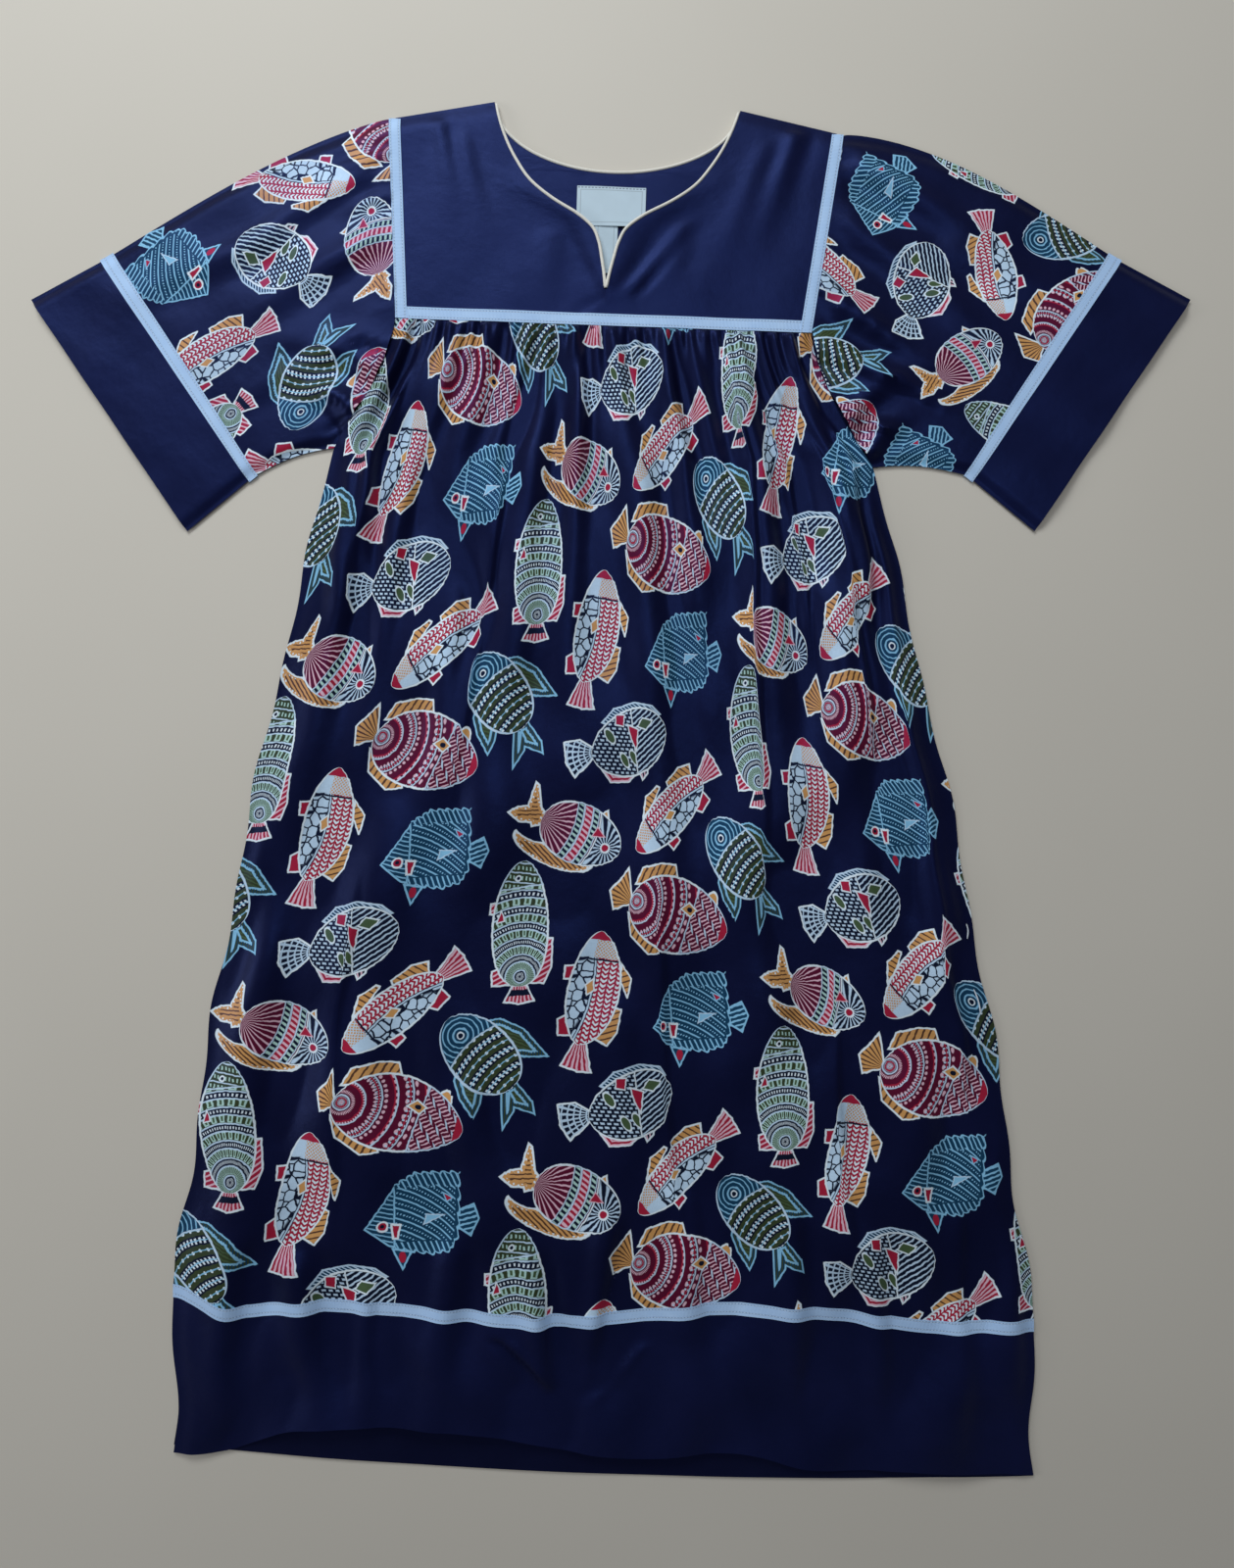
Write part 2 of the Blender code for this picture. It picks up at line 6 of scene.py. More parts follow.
import bpy
import numpy as np
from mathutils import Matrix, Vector


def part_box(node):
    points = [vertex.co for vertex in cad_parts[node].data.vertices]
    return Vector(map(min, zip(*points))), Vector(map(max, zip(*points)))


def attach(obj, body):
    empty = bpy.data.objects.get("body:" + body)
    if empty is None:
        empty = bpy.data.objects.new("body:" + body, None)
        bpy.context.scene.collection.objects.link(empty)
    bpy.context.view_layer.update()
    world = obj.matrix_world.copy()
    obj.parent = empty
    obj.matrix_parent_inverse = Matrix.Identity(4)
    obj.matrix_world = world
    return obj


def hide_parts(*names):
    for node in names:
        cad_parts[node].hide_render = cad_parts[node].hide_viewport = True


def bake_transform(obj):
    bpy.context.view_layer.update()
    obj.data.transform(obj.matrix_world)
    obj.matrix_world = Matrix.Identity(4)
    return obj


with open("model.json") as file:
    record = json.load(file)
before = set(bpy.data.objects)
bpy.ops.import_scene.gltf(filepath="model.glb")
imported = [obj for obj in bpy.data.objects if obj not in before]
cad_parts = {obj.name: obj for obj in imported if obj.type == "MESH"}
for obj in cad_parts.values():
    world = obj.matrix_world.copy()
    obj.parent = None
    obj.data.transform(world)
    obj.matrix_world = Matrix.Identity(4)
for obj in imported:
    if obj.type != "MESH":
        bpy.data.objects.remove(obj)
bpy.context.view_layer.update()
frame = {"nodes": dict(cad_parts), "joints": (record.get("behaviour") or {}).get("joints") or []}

# The laid pattern, in metres. The front neckline is the curve in front_neck_half
LAY_TILT = 0.036
YOKE_SKEW = 0.064
BODY_SHIFT = -0.006
NECK_WIDTH = 0.200
SHOULDER_WIDTH = 0.370
SHOULDER_DROP = 0.017
YOKE_LENGTH = 0.1795
YOKE_BASE_WIDTH = 0.338
FRONT_NECK_DEPTH = 0.094
BACK_NECK_DEPTH = 0.0545
SLIT_DEPTH = 0.151
LEAST_NECK_HALF = 0.0012
FACING_WIDTH = 0.040
TAPE_WIDTH = 0.0095
ARMHOLE_DROP = 0.1065
BUST_WIDTH = 0.439
SKIRT_LENGTH = 0.7975
HEM_WIDTH = 0.700
SIDE_BULGE = 0.012
HEM_BAND_DEPTH = 0.1165
BACK_HEM_SAG = 0.011
SLEEVE_LENGTH = 0.248
SLEEVE_BREADTH = 0.235
SLEEVE_DROP_DEG = 25.3
CUFF_WIDTH = 0.214
CUFF_SLANT_DEG = 34.0
CUFF_FLARE = 0.006
SLEEVE_BAND_DEPTH = 0.062

YOKE_BASE_Y = -YOKE_LENGTH
UNDERARM_Y = YOKE_BASE_Y - ARMHOLE_DROP
HEM_TAPE_Y = YOKE_BASE_Y - SKIRT_LENGTH
HEM_BAND_Y = HEM_TAPE_Y - TAPE_WIDTH
HEM_Y = HEM_BAND_Y - HEM_BAND_DEPTH
PATTERN_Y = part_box("front_yoke")[1].y - LAY_TILT * NECK_WIDTH / 2

# Thicknesses, in metres
CLOTH = 0.00035
TAPE_CLOTH = 0.0004
THIN_CLOTH = 0.0003
PIPING_RADIUS = 0.0013

# Heights above the floor, in metres: the back, a pocket bag, the front, and the front's side edges
BACK_Z = 0.0009
POCKET_Z = 0.0020
FRONT_LOFT = 0.0048
EDGE_Z = 0.0022

# How far the front takes to roll down to a side seam, and to a shoulder or a sleeve's edge
EDGE_ROLL = 0.016
SHORT_ROLL = 0.012
# A turned sleeve's blend reaches this much cloth past its crease; settle only bakes the sleeve in place and
# does not bend it
FOLD_BLEND = 0.020
# Folds stand less than this above the front, and the slack hem's edge is lifted by up to HEM_RISE
FOLD_LIMIT = 0.0125
HEM_RISE = 0.0055
# Near the hem its folds sway the skirt's cloth too, over this length
HEM_SWAY = 0.16
# The steep side of a crease, its wander to either side, and the run over which hidden cloth comes back
LAP_DROP = 0.0018
LAP_WANDER = 0.0022
LAP_RECOVERY = 0.055

MM = 0.001
# Surfaces that meet at a larger angle than this, in degrees, are shaded with an edge
SHARP_DEG = 70.0

BODY = "dress_body"
ARM = {"left": "left_sleeve_end", "right": "right_sleeve_end"}
SIDES = ((-1, "left"), (1, "right"))


# ---------------------------------------------------------------- pattern


def smooth(t):
    t = np.clip(t, 0.0, 1.0)
    return t * t * (3.0 - 2.0 * t)


def mix(a, b, t):
    return a + (b - a) * t


def curve(x, xs, ys):
    """A smooth curve through a few points, level at its ends."""
    xs = np.asarray(xs, float)
    ys = np.asarray(ys, float)
    i = np.clip(np.searchsorted(xs, x) - 1, 0, len(xs) - 2)
    slopes = np.gradient(ys, xs)
    slopes[0] = slopes[-1] = 0.0
    h = xs[i + 1] - xs[i]
    t = np.clip((x - xs[i]) / h, 0.0, 1.0)
    a = (1 + 2 * t) * (1 - t) ** 2 * ys[i] + t * (1 - t) ** 2 * h * slopes[i]
    return a + t * t * (3 - 2 * t) * ys[i + 1] + t * t * (t - 1) * h * slopes[i + 1]


def lay(x, y):
    lean = YOKE_SKEW * np.maximum(0.0, y - YOKE_BASE_Y)
    return x + BODY_SHIFT + lean, y - LAY_TILT * x + PATTERN_Y


def shoulder_y(x):
    run = (np.abs(x) - NECK_WIDTH / 2) / ((SHOULDER_WIDTH - NECK_WIDTH) / 2)
    return -SHOULDER_DROP * np.maximum(run, 0.0)


def yoke_half(y):
    return mix(SHOULDER_WIDTH, YOKE_BASE_WIDTH, np.clip(-y / YOKE_LENGTH, 0.0, 1.0)) / 2


def front_neck_half(depth):
    """The neckline curves in from the shoulders and turns down smoothly into a slit that ends in a point."""
    share = curve(
        depth,
        (-0.020, 0.000, 0.024, 0.047, 0.066, 0.079, 0.091, 0.101, 0.112, 0.126, 0.144, 0.160),
        (1.02, 1.00, 0.927, 0.805, 0.655, 0.480, 0.275, 0.150, 0.094, 0.059, 0.024, 0.006),
    )
    return NECK_WIDTH / 2 * share


def back_neck_half(depth):
    inside = np.clip(1.0 - (depth / BACK_NECK_DEPTH) ** 2, 0.0, 1.0)
    return np.maximum(NECK_WIDTH / 2 * np.sqrt(inside), LEAST_NECK_HALF)


def skirt_half(y):
    down = np.clip((YOKE_BASE_Y - y) / ARMHOLE_DROP, 0.0, 1.0)
    armhole = mix(YOKE_BASE_WIDTH, BUST_WIDTH, down**1.5) / 2
    fall = np.clip((UNDERARM_Y - y) / (UNDERARM_Y - HEM_TAPE_Y), 0.0, 1.0)
    side = mix(BUST_WIDTH, HEM_WIDTH, fall) / 2 + SIDE_BULGE * np.sin(np.pi * fall)
    return np.where(y > UNDERARM_Y, armhole, side)


# ---------------------------------------------------------------- folds


class Folds:
    """Soft ridges, each with a dip beside it. In metres, u runs across the cloth and v down its length."""

    def __init__(self):
        self.ridges = []

    def add(self, u_top, u_end, v_top, v_end, width, height, flare=1.6, dip=0.6):
        self.ridges.append((u_top, u_end, v_top, v_end, width, height, flare, dip))

    def gathers(self, rng, u_from, u_to, v_top, pitch, length, width, height):
        u = u_from
        while u < u_to:
            reach = rng.uniform(*length)
            lean = rng.uniform(-0.08, 0.08) * reach
            self.add(u, u + lean, v_top - 0.02, v_top + reach,
                     rng.uniform(*width), rng.uniform(*height), flare=2.6)
            u += rng.uniform(*pitch)

    def height(self, u, v):
        total = np.zeros(np.broadcast(u, v).shape)
        for u_top, u_end, v_top, v_end, width, height, flare, dip in self.ridges:
            along = np.clip((v - v_top) / (v_end - v_top), -1.0, 2.0)
            fade = smooth(along / 0.14) * smooth((1.0 - along) / 0.75)
            wide = width * mix(1.0, flare, np.clip(along, 0.0, 1.0))
            off = (u - mix(u_top, u_end, along)) / wide
            ridge = np.exp(-off * off) - dip * np.exp(-((off - 1.5) ** 2))
            total = total + height * fade * ridge
        return total


class Laps:
    """Creases where cloth falls over itself to the right: a slow rise, a steep drop and cloth tucked away."""

    def __init__(self, lines):
        self.lines = lines

    def across(self, u, v):
        for u_top, u_end, v_top, v_end, width, height, tucked in self.lines:
            along = np.clip((v - v_top) / (v_end - v_top), -1.0, 2.0)
            fade = smooth(along / 0.18) * smooth((1.0 - along) / 0.45)
            wander = LAP_WANDER * np.sin(along * 5.0 + u_top * 90.0)
            yield u - mix(u_top, u_end, along) - wander, fade, width, height, tucked

    def height(self, u, v):
        total = np.zeros(np.broadcast(u, v).shape)
        for off, fade, width, height, _ in self.across(u, v):
            total = total + height * fade * np.exp(-((off / np.where(off < 0, width, LAP_DROP)) ** 2))
        return total

    def tucked(self, u, v):
        """How much cloth is hidden to the left of each point, recovered gradually to the right."""
        total = np.zeros(np.broadcast(u, v).shape)
        for off, fade, _, _, tucked in self.across(u, v):
            step = smooth((off + LAP_DROP) / LAP_DROP)
            total = total + tucked * fade * step * np.exp(-np.maximum(off, 0.0) / LAP_RECOVERY)
        return total


def waves(rng, u, v, count, length_u, length_v, height):
    """Low random undulation, the same on each run."""
    total = np.zeros(np.broadcast(u, v).shape)
    for _ in range(count):
        ku = 2 * np.pi / rng.uniform(*length_u)
        kv = 2 * np.pi / rng.uniform(*length_v) * rng.choice([-1, 1])
        total = total + np.sin(ku * u + kv * v + rng.uniform(0, 2 * np.pi))
    return total * height / math.sqrt(count)


def skirt_folds():
    folds = Folds()
    rng = np.random.default_rng(11)
    half = YOKE_BASE_WIDTH / 2
    folds.gathers(rng, -half + 0.006, half - 0.006, 0.0,
                  (0.007, 0.015), (0.050, 0.130), (0.0022, 0.0034), (0.0030, 0.0060))
    folds.gathers(rng, -half + 0.012, half - 0.012, 0.005,
                  (0.022, 0.040), (0.14, 0.34), (0.0036, 0.0056), (0.0034, 0.0062))
    # across the skirt as a share of its half width, so that folds fan out with it
    for start, end, top, bottom, width, height in (
        (-0.143, -0.150, 0.03, 0.62, 0.0070, 0.0060),
        (-0.118, -0.122, 0.10, 0.40, 0.0050, 0.0036),
        (-0.040, -0.062, 0.02, 0.56, 0.0085, 0.0058),
        (-0.016, -0.020, 0.02, 0.34, 0.0050, 0.0044),
        (0.022, 0.030, 0.05, 0.74, 0.0090, 0.0050),
        (0.048, 0.052, 0.02, 0.30, 0.0050, 0.0040),
        (0.103, 0.078, 0.01, 0.50, 0.0075, 0.0085),
        (0.128, 0.118, 0.16, 0.66, 0.0080, 0.0062),
        (0.146, 0.140, 0.06, 0.50, 0.0050, 0.0050),
        (0.060, 0.092, 0.40, 0.86, 0.0110, 0.0064),
        (0.005, 0.012, 0.52, 0.92, 0.0130, 0.0060),
        (-0.100, -0.112, 0.36, 0.92, 0.0110, 0.0056),
        (-0.152, -0.146, 0.46, 0.92, 0.0080, 0.0060),
        (-0.060, -0.036, 0.60, 0.93, 0.0100, 0.0058),
        (0.130, 0.126, 0.56, 0.93, 0.0100, 0.0058),
        (-0.080, -0.088, 0.20, 0.55, 0.0070, 0.0044),
        # folds that fan out from both underarms
        (0.160, 0.130, 0.07, 0.36, 0.0042, 0.0062),
        (0.150, 0.106, 0.10, 0.44, 0.0048, 0.0058),
        (0.164, 0.152, 0.09, 0.62, 0.0048, 0.0058),
        (-0.158, -0.138, 0.08, 0.32, 0.0042, 0.0050),
        (-0.149, -0.124, 0.09, 0.28, 0.0040, 0.0044),
    ):
        folds.add(start, end, top, bottom, width, 1.30 * height)
    return folds


def hem_folds():
    """Folds that cross the plain band, given across the hem in metres."""
    folds = Folds()
    for start, end, top, bottom, width, height in (
        (-0.300, -0.322, -0.060, 0.150, 0.011, 0.0046),
        (-0.252, -0.226, -0.050, 0.170, 0.013, 0.0060),
        (-0.190, -0.200, -0.030, 0.160, 0.010, 0.0040),
        (-0.120, -0.150, -0.070, 0.180, 0.012, 0.0044),
        (-0.062, -0.036, -0.060, 0.160, 0.009, 0.0062),
        (0.004, -0.022, -0.090, 0.140, 0.010, 0.0050),
        (0.072, 0.064, -0.120, 0.170, 0.014, 0.0042),
        (0.150, 0.158, -0.100, 0.170, 0.010, 0.0036),
        (0.215, 0.232, -0.080, 0.170, 0.012, 0.0040),
        (0.290, 0.286, -0.110, 0.170, 0.011, 0.0034),
        # a slack V in the middle of the band
        (-0.090, -0.034, 0.020, 0.092, 0.006, -0.0034),
        (0.024, -0.028, 0.026, 0.092, 0.006, -0.0030),
    ):
        folds.add(start, end, top, bottom, width, 1.5 * height, flare=1.25, dip=0.7)
    return folds


SKIRT_FOLDS = skirt_folds()
# across the skirt as a share of its half width, then down from the yoke, in metres
SKIRT_LAPS = Laps((
    (0.0975, 0.0700, 0.008, 0.52, 0.0085, 0.0078, 0.014),
    (0.1370, 0.1370, 0.070, 0.42, 0.0080, 0.0076, 0.013),
    (0.1180, 0.1070, 0.010, 0.32, 0.0060, 0.0056, 0.009),
    (0.1560, 0.1500, 0.060, 0.26, 0.0050, 0.0052, 0.008),
    (0.1540, 0.1570, 0.260, 0.70, 0.0070, 0.0050, 0.010),
    (-0.0620, -0.0720, 0.100, 0.44, 0.0075, 0.0050, 0.006),
    (-0.1460, -0.1400, 0.030, 0.26, 0.0055, 0.0052, 0.008),
    (0.0240, 0.0330, 0.420, 0.80, 0.0085, 0.0050, 0.006),
    (-0.1150, -0.1080, 0.440, 0.79, 0.0085, 0.0050, 0.006),
    (0.1040, 0.0960, 0.500, 0.80, 0.0080, 0.0050, 0.006),
))
HEM_FOLDS = hem_folds()


def hem_wave(x):
    """The hem seam waves along its length because the folds take it up."""
    return curve(
        x, (-0.350, -0.300, -0.250, -0.165, -0.015, 0.085, 0.190, 0.262, 0.350),
        (0.005, -0.0095, -0.003, -0.004, -0.0065, 0.006, 0.0057, -0.002, 0.002),
    )


def front_hem_lift(x):
    """How far the front hem is drawn up above the line of the back hem."""
    return curve(
        x, (-0.350, -0.305, -0.255, -0.200, -0.150, -0.095, -0.040, 0.015, 0.130, 0.150, 0.250, 0.350),
        (-0.006, -0.002, 0.018, 0.024, 0.024, 0.020, 0.011, 0.006, 0.009, 0.003, 0.002, 0.001),
    )


def front_height(x, y):
    """Height of the front layer's outer side over the pattern."""
    rng = np.random.default_rng(5)
    half = skirt_half(y)
    beside_underarm = np.hypot(BUST_WIDTH / 2 - np.abs(x), y - UNDERARM_Y)
    from_side = np.where(y <= UNDERARM_Y, half - np.abs(x), beside_underarm)
    rise = smooth(from_side / EDGE_ROLL)
    down = YOKE_BASE_Y - y
    across = x / half * YOKE_BASE_WIDTH / 2
    folded = SKIRT_FOLDS.height(across, down) + SKIRT_LAPS.height(across, down)
    folded = folded + HEM_FOLDS.height(x, down - SKIRT_LENGTH) * smooth((down - 0.60) / 0.15)
    folded = folded + waves(rng, x, y, 8, (0.09, 0.24), (0.12, 0.50), 0.0030) * smooth(down / 0.1)
    folded = folded + waves(rng, x, y, 6, (0.05, 0.10), (0.07, 0.20), 0.0008) * smooth(down / 0.1)
    folded = FOLD_LIMIT * np.tanh(folded / FOLD_LIMIT)
    loft = FRONT_LOFT - EDGE_Z + folded * smooth(from_side / (1.6 * EDGE_ROLL))
    body = EDGE_Z + rise * loft
    return np.where(down > 0, np.maximum(body, mix(0.0021, 0.0027, rise)), yoke_height(x, y))


def yoke_height(x, y):
    """The yoke lies smooth over the back, with a few low puckers, and rolls down at the shoulder."""
    from_shoulder = shoulder_y(x) - y
    rise = smooth(from_shoulder / SHORT_ROLL)
    puckers = Folds()
    for u_top, u_end, v_top, v_end, width, height in (
        (-0.146, -0.122, 0.010, 0.120, 0.006, 0.0014),
        (-0.128, -0.096, 0.020, 0.140, 0.007, 0.0011),
        (0.150, 0.112, 0.005, 0.130, 0.008, 0.0024),
        (0.124, 0.082, 0.020, 0.150, 0.008, 0.0014),
        (0.060, 0.040, 0.090, 0.180, 0.008, 0.0009),
        (-0.050, -0.046, 0.100, 0.180, 0.009, 0.0009),
        # the neck edges stand up beside the slit, and dips run up from its foot outside them
        (-0.005, -0.052, 0.158, 0.068, 0.0060, -0.0012),
        (0.006, 0.060, 0.158, 0.074, 0.0070, -0.0016),
        (0.014, 0.082, 0.158, 0.070, 0.0060, 0.0012),
        (0.022, 0.076, 0.160, 0.082, 0.0045, -0.0010),
        (-0.002, -0.030, 0.156, 0.176, 0.0040, -0.0010),
    ):
        puckers.add(u_top, u_end, v_top, v_end, width, height)
    rng = np.random.default_rng(3)
    low = waves(rng, x, y, 5, (0.06, 0.16), (0.06, 0.2), 0.00035)
    # both neck edges stand up a little, more so on the wearer's left
    out = np.abs(x) - front_neck_half(-y)
    near_slit = smooth((-y - 0.045) / 0.05) * smooth((0.166 + y) / 0.022)
    stand = np.where(x > 0, 0.0036, 0.0026) * np.exp(-((out / 0.019) ** 2)) * near_slit
    return EDGE_Z + rise * (FRONT_LOFT - EDGE_Z + puckers.height(x, -y) + low + stand)


def waver(x, y):
    """Below the underarms the side seams waver a little, and the cloth between them goes with them."""
    bow = 0.0016 * np.sin(y * 31.0) + 0.0012 * np.sin(y * 67.0 + 1.0)
    return x * (1.0 + bow / 0.25 * smooth((UNDERARM_Y - y) / 0.08))


def towards_hem(y):
    """How far a point is into the swayed end of the skirt and how far down the hem band, from 0 to 1."""
    near_hem = smooth((HEM_TAPE_Y + HEM_SWAY - y) / HEM_SWAY)
    return near_hem, np.clip((HEM_BAND_Y - y) / HEM_BAND_DEPTH, 0.0, 1.0)


def front_place(x, y, lift=0.0):
    """Laid position of a point of the front, on the outer side of the cloth."""
    near_hem, below = towards_hem(y)
    z = front_height(x, y) + lift
    z = z + HEM_RISE * below**2 * smooth((front_hem_lift(x) - 0.001) / 0.016)
    drawn = y + hem_wave(x) * near_hem + (front_hem_lift(x) - hem_wave(x)) * below
    px, py = lay(waver(x, y), drawn)
    return np.stack([px, py, z], axis=-1)


def back_place(x, y, lift=0.0):
    """Laid position of a point of the back, on its outer side, which faces the floor."""
    rng = np.random.default_rng(8)
    rest = BACK_Z * (1.0 + 0.35 * np.clip(waves(rng, x, y, 5, (0.08, 0.2), (0.1, 0.4), 1.0), -1, 1))
    near_hem, below = towards_hem(y)
    sag = BACK_HEM_SAG * (1.0 - (2 * x / HEM_WIDTH) ** 2) * below
    px, py = lay(waver(x, y), y + 0.3 * hem_wave(x) * near_hem * (1 - below) - sag)
    return np.stack([px, py, rest + lift], axis=-1)


# ---------------------------------------------------------------- meshes


def add_object(name, data):
    made = bpy.data.objects.new(name, data)
    bpy.context.scene.collection.objects.link(made)
    return made


def shaded_object(name, mesh):
    mesh.polygons.foreach_set("use_smooth", np.ones(len(mesh.polygons), bool))
    mesh.set_sharp_from_angle(angle=math.radians(SHARP_DEG))
    return add_object(name, mesh)


def grid(us, vs):
    return np.meshgrid(np.asarray(us, float), np.asarray(vs, float))


def normals_of(points, around):
    """Unit normals of a grid of points, rows by columns. around joins the last column to the first."""
    if around:
        across = np.roll(points, -1, 1) - np.roll(points, 1, 1)
    else:
        across = np.gradient(points, axis=1)
    along = np.gradient(points, axis=0)
    normal = np.cross(across, along)
    return normal / np.maximum(np.linalg.norm(normal, axis=-1, keepdims=True), 1e-12)


def cloth(name, points, thickness=CLOTH, around=False, kept=None, flip=False, fabric=None):
    """A thin closed solid of cloth on a grid of points, which are its outer side.

    It carries three UV maps: print (millimetres from the middle of the nearest fish), weave (millimetres of
    cloth) and OFBake. Returned with it are the number of the fish on each outer face, which come first, and
    how many outer faces there are.
    """
    rows, columns = points.shape[:2]
    normal = normals_of(points, around) * (-1.0 if flip else 1.0)
    count = rows * columns
    verts = np.concatenate([points.reshape(-1, 3), (points - normal * thickness).reshape(-1, 3)])
    wide = columns if around else columns - 1
    r, c = np.meshgrid(np.arange(rows - 1), np.arange(wide), indexing="ij")
    if kept is not None:
        r, c = r[kept], c[kept]
    r, c = r.ravel(), c.ravel()
    step = (c + 1) % columns
    here, below = r * columns, (r + 1) * columns
    quads = np.stack([here + c, here + step, below + step, below + c], 1)
    if flip:
        quads = quads[:, ::-1]
    edges = np.stack([quads, np.roll(quads, -1, 1)], -1).reshape(-1, 2)
    key = edges[:, 0] * np.int64(count) + edges[:, 1]
    back_key = edges[:, 1] * np.int64(count) + edges[:, 0]
    rim = edges[~np.isin(key, back_key)]
    walls = np.stack([rim[:, 1], rim[:, 0], rim[:, 0] + count, rim[:, 1] + count], 1)
    faces = np.concatenate([quads, quads[:, ::-1] + count, walls])
    used = np.zeros(2 * count, bool)
    used[faces.ravel()] = True
    index = np.cumsum(used) - 1
    mesh = bpy.data.meshes.new(name)
    mesh.from_pydata(verts[used].tolist(), [], index[faces].tolist())
    if fabric is None:
        length = np.linalg.norm(np.diff(points, axis=0), axis=-1)
        breadth = np.linalg.norm(np.diff(points, axis=1), axis=-1)
        down = np.concatenate([np.zeros((1, columns)), np.cumsum(length, 0)])
        over = np.concatenate([np.zeros((rows, 1)), np.cumsum(breadth, 1)], 1)
        fabric = np.stack([over, down], -1) / MM
    corner = faces % count
    flat = fabric.reshape(-1, 2)
    outer = len(quads)
    motif, local = nearest_fish(flat[quads])
    print_uv = np.concatenate([local, np.full((len(faces) - outer, 4, 2), FAR_FROM_FISH)])
    bake = bake_uv(corner, rows, columns, around, outer)
    for layer, values in (("print", print_uv), ("weave", flat[corner]), ("OFBake", bake)):
        uv = mesh.uv_layers.new(name=layer)
        uv.data.foreach_set("uv", values.reshape(-1).astype(np.float32))
    return shaded_object(name, mesh), motif, outer


def bake_uv(corner, rows, columns, around, outer):
    """The outer side fills most of the square, and the inner side and the rim share its foot."""
    margin, foot_top, outer_base = 0.005, 0.055, 0.065
    r = corner // columns
    c = corner % columns
    wide = columns if around else columns - 1
    u = c / wide
    if around:
        u = np.where((c == 0) & (c.max(1, keepdims=True) == columns - 1), 1.0, u)
    v = r / (rows - 1)
    over = mix(margin, 1.0 - margin, u)
    top = np.stack([over, mix(outer_base, 1.0 - margin, v)], -1)
    foot = np.stack([over, mix(margin, foot_top, v)], -1)
    shown = np.arange(len(corner)) < outer
    return np.where(shown[:, None, None], top, foot)


def tube(name, path, radius, sides=10, taper=0.0):
    """A round cord along points, closed at both ends, a little thinner there if taper is set."""
    path = np.asarray(path, float)
    along = np.gradient(path, axis=0)
    along /= np.linalg.norm(along, axis=1, keepdims=True)
    side = np.cross(along, [0.0, 0.0, 1.0])
    side /= np.maximum(np.linalg.norm(side, axis=1, keepdims=True), 1e-9)
    rise = np.cross(side, along)
    turn = np.linspace(0, 2 * np.pi, sides, endpoint=False)
    share = np.linspace(0, 1, len(path))
    size = radius * (1 - taper * (2 * np.abs(share - 0.5)) ** 6)
    ring = np.cos(turn)[None, :, None] * side[:, None] + np.sin(turn)[None, :, None] * rise[:, None]
    verts = (path[:, None] + ring * size[:, None, None]).reshape(-1, 3)
    last = (len(path) - 1) * sides
    faces = []
    for i in range(len(path) - 1):
        for k in range(sides):
            a = i * sides + k
            b = i * sides + (k + 1) % sides
            faces.append((a + sides, b + sides, b, a))
    faces.append(tuple(range(sides)))
    faces.append(tuple(reversed(range(last, last + sides))))
    mesh = bpy.data.meshes.new(name)
    mesh.from_pydata(verts.tolist(), [], faces)
    return shaded_object(name, mesh)


# ---------------------------------------------------------------- material graphs


class Num:
    """A number worked out by a material's nodes, combined with Python's operators."""

    def __init__(self, graph, socket):
        self.graph = graph
        self.socket = socket

    def __add__(self, other):
        return self.graph.math("ADD", self, other)

    def __sub__(self, other):
        return self.graph.math("SUBTRACT", self, other)

    def __mul__(self, other):
        return self.graph.math("MULTIPLY", self, other)

    def __truediv__(self, other):
        return self.graph.math("DIVIDE", self, other)

    def __pow__(self, other):
        return self.graph.math("POWER", self, other)

    def __neg__(self):
        return self.graph.math("MULTIPLY", self, -1.0)

    def __abs__(self):
        return self.graph.math("ABSOLUTE", self)

    def __rsub__(self, other):
        return self.graph.math("SUBTRACT", other, self)

    __radd__ = __add__
    __rmul__ = __mul__


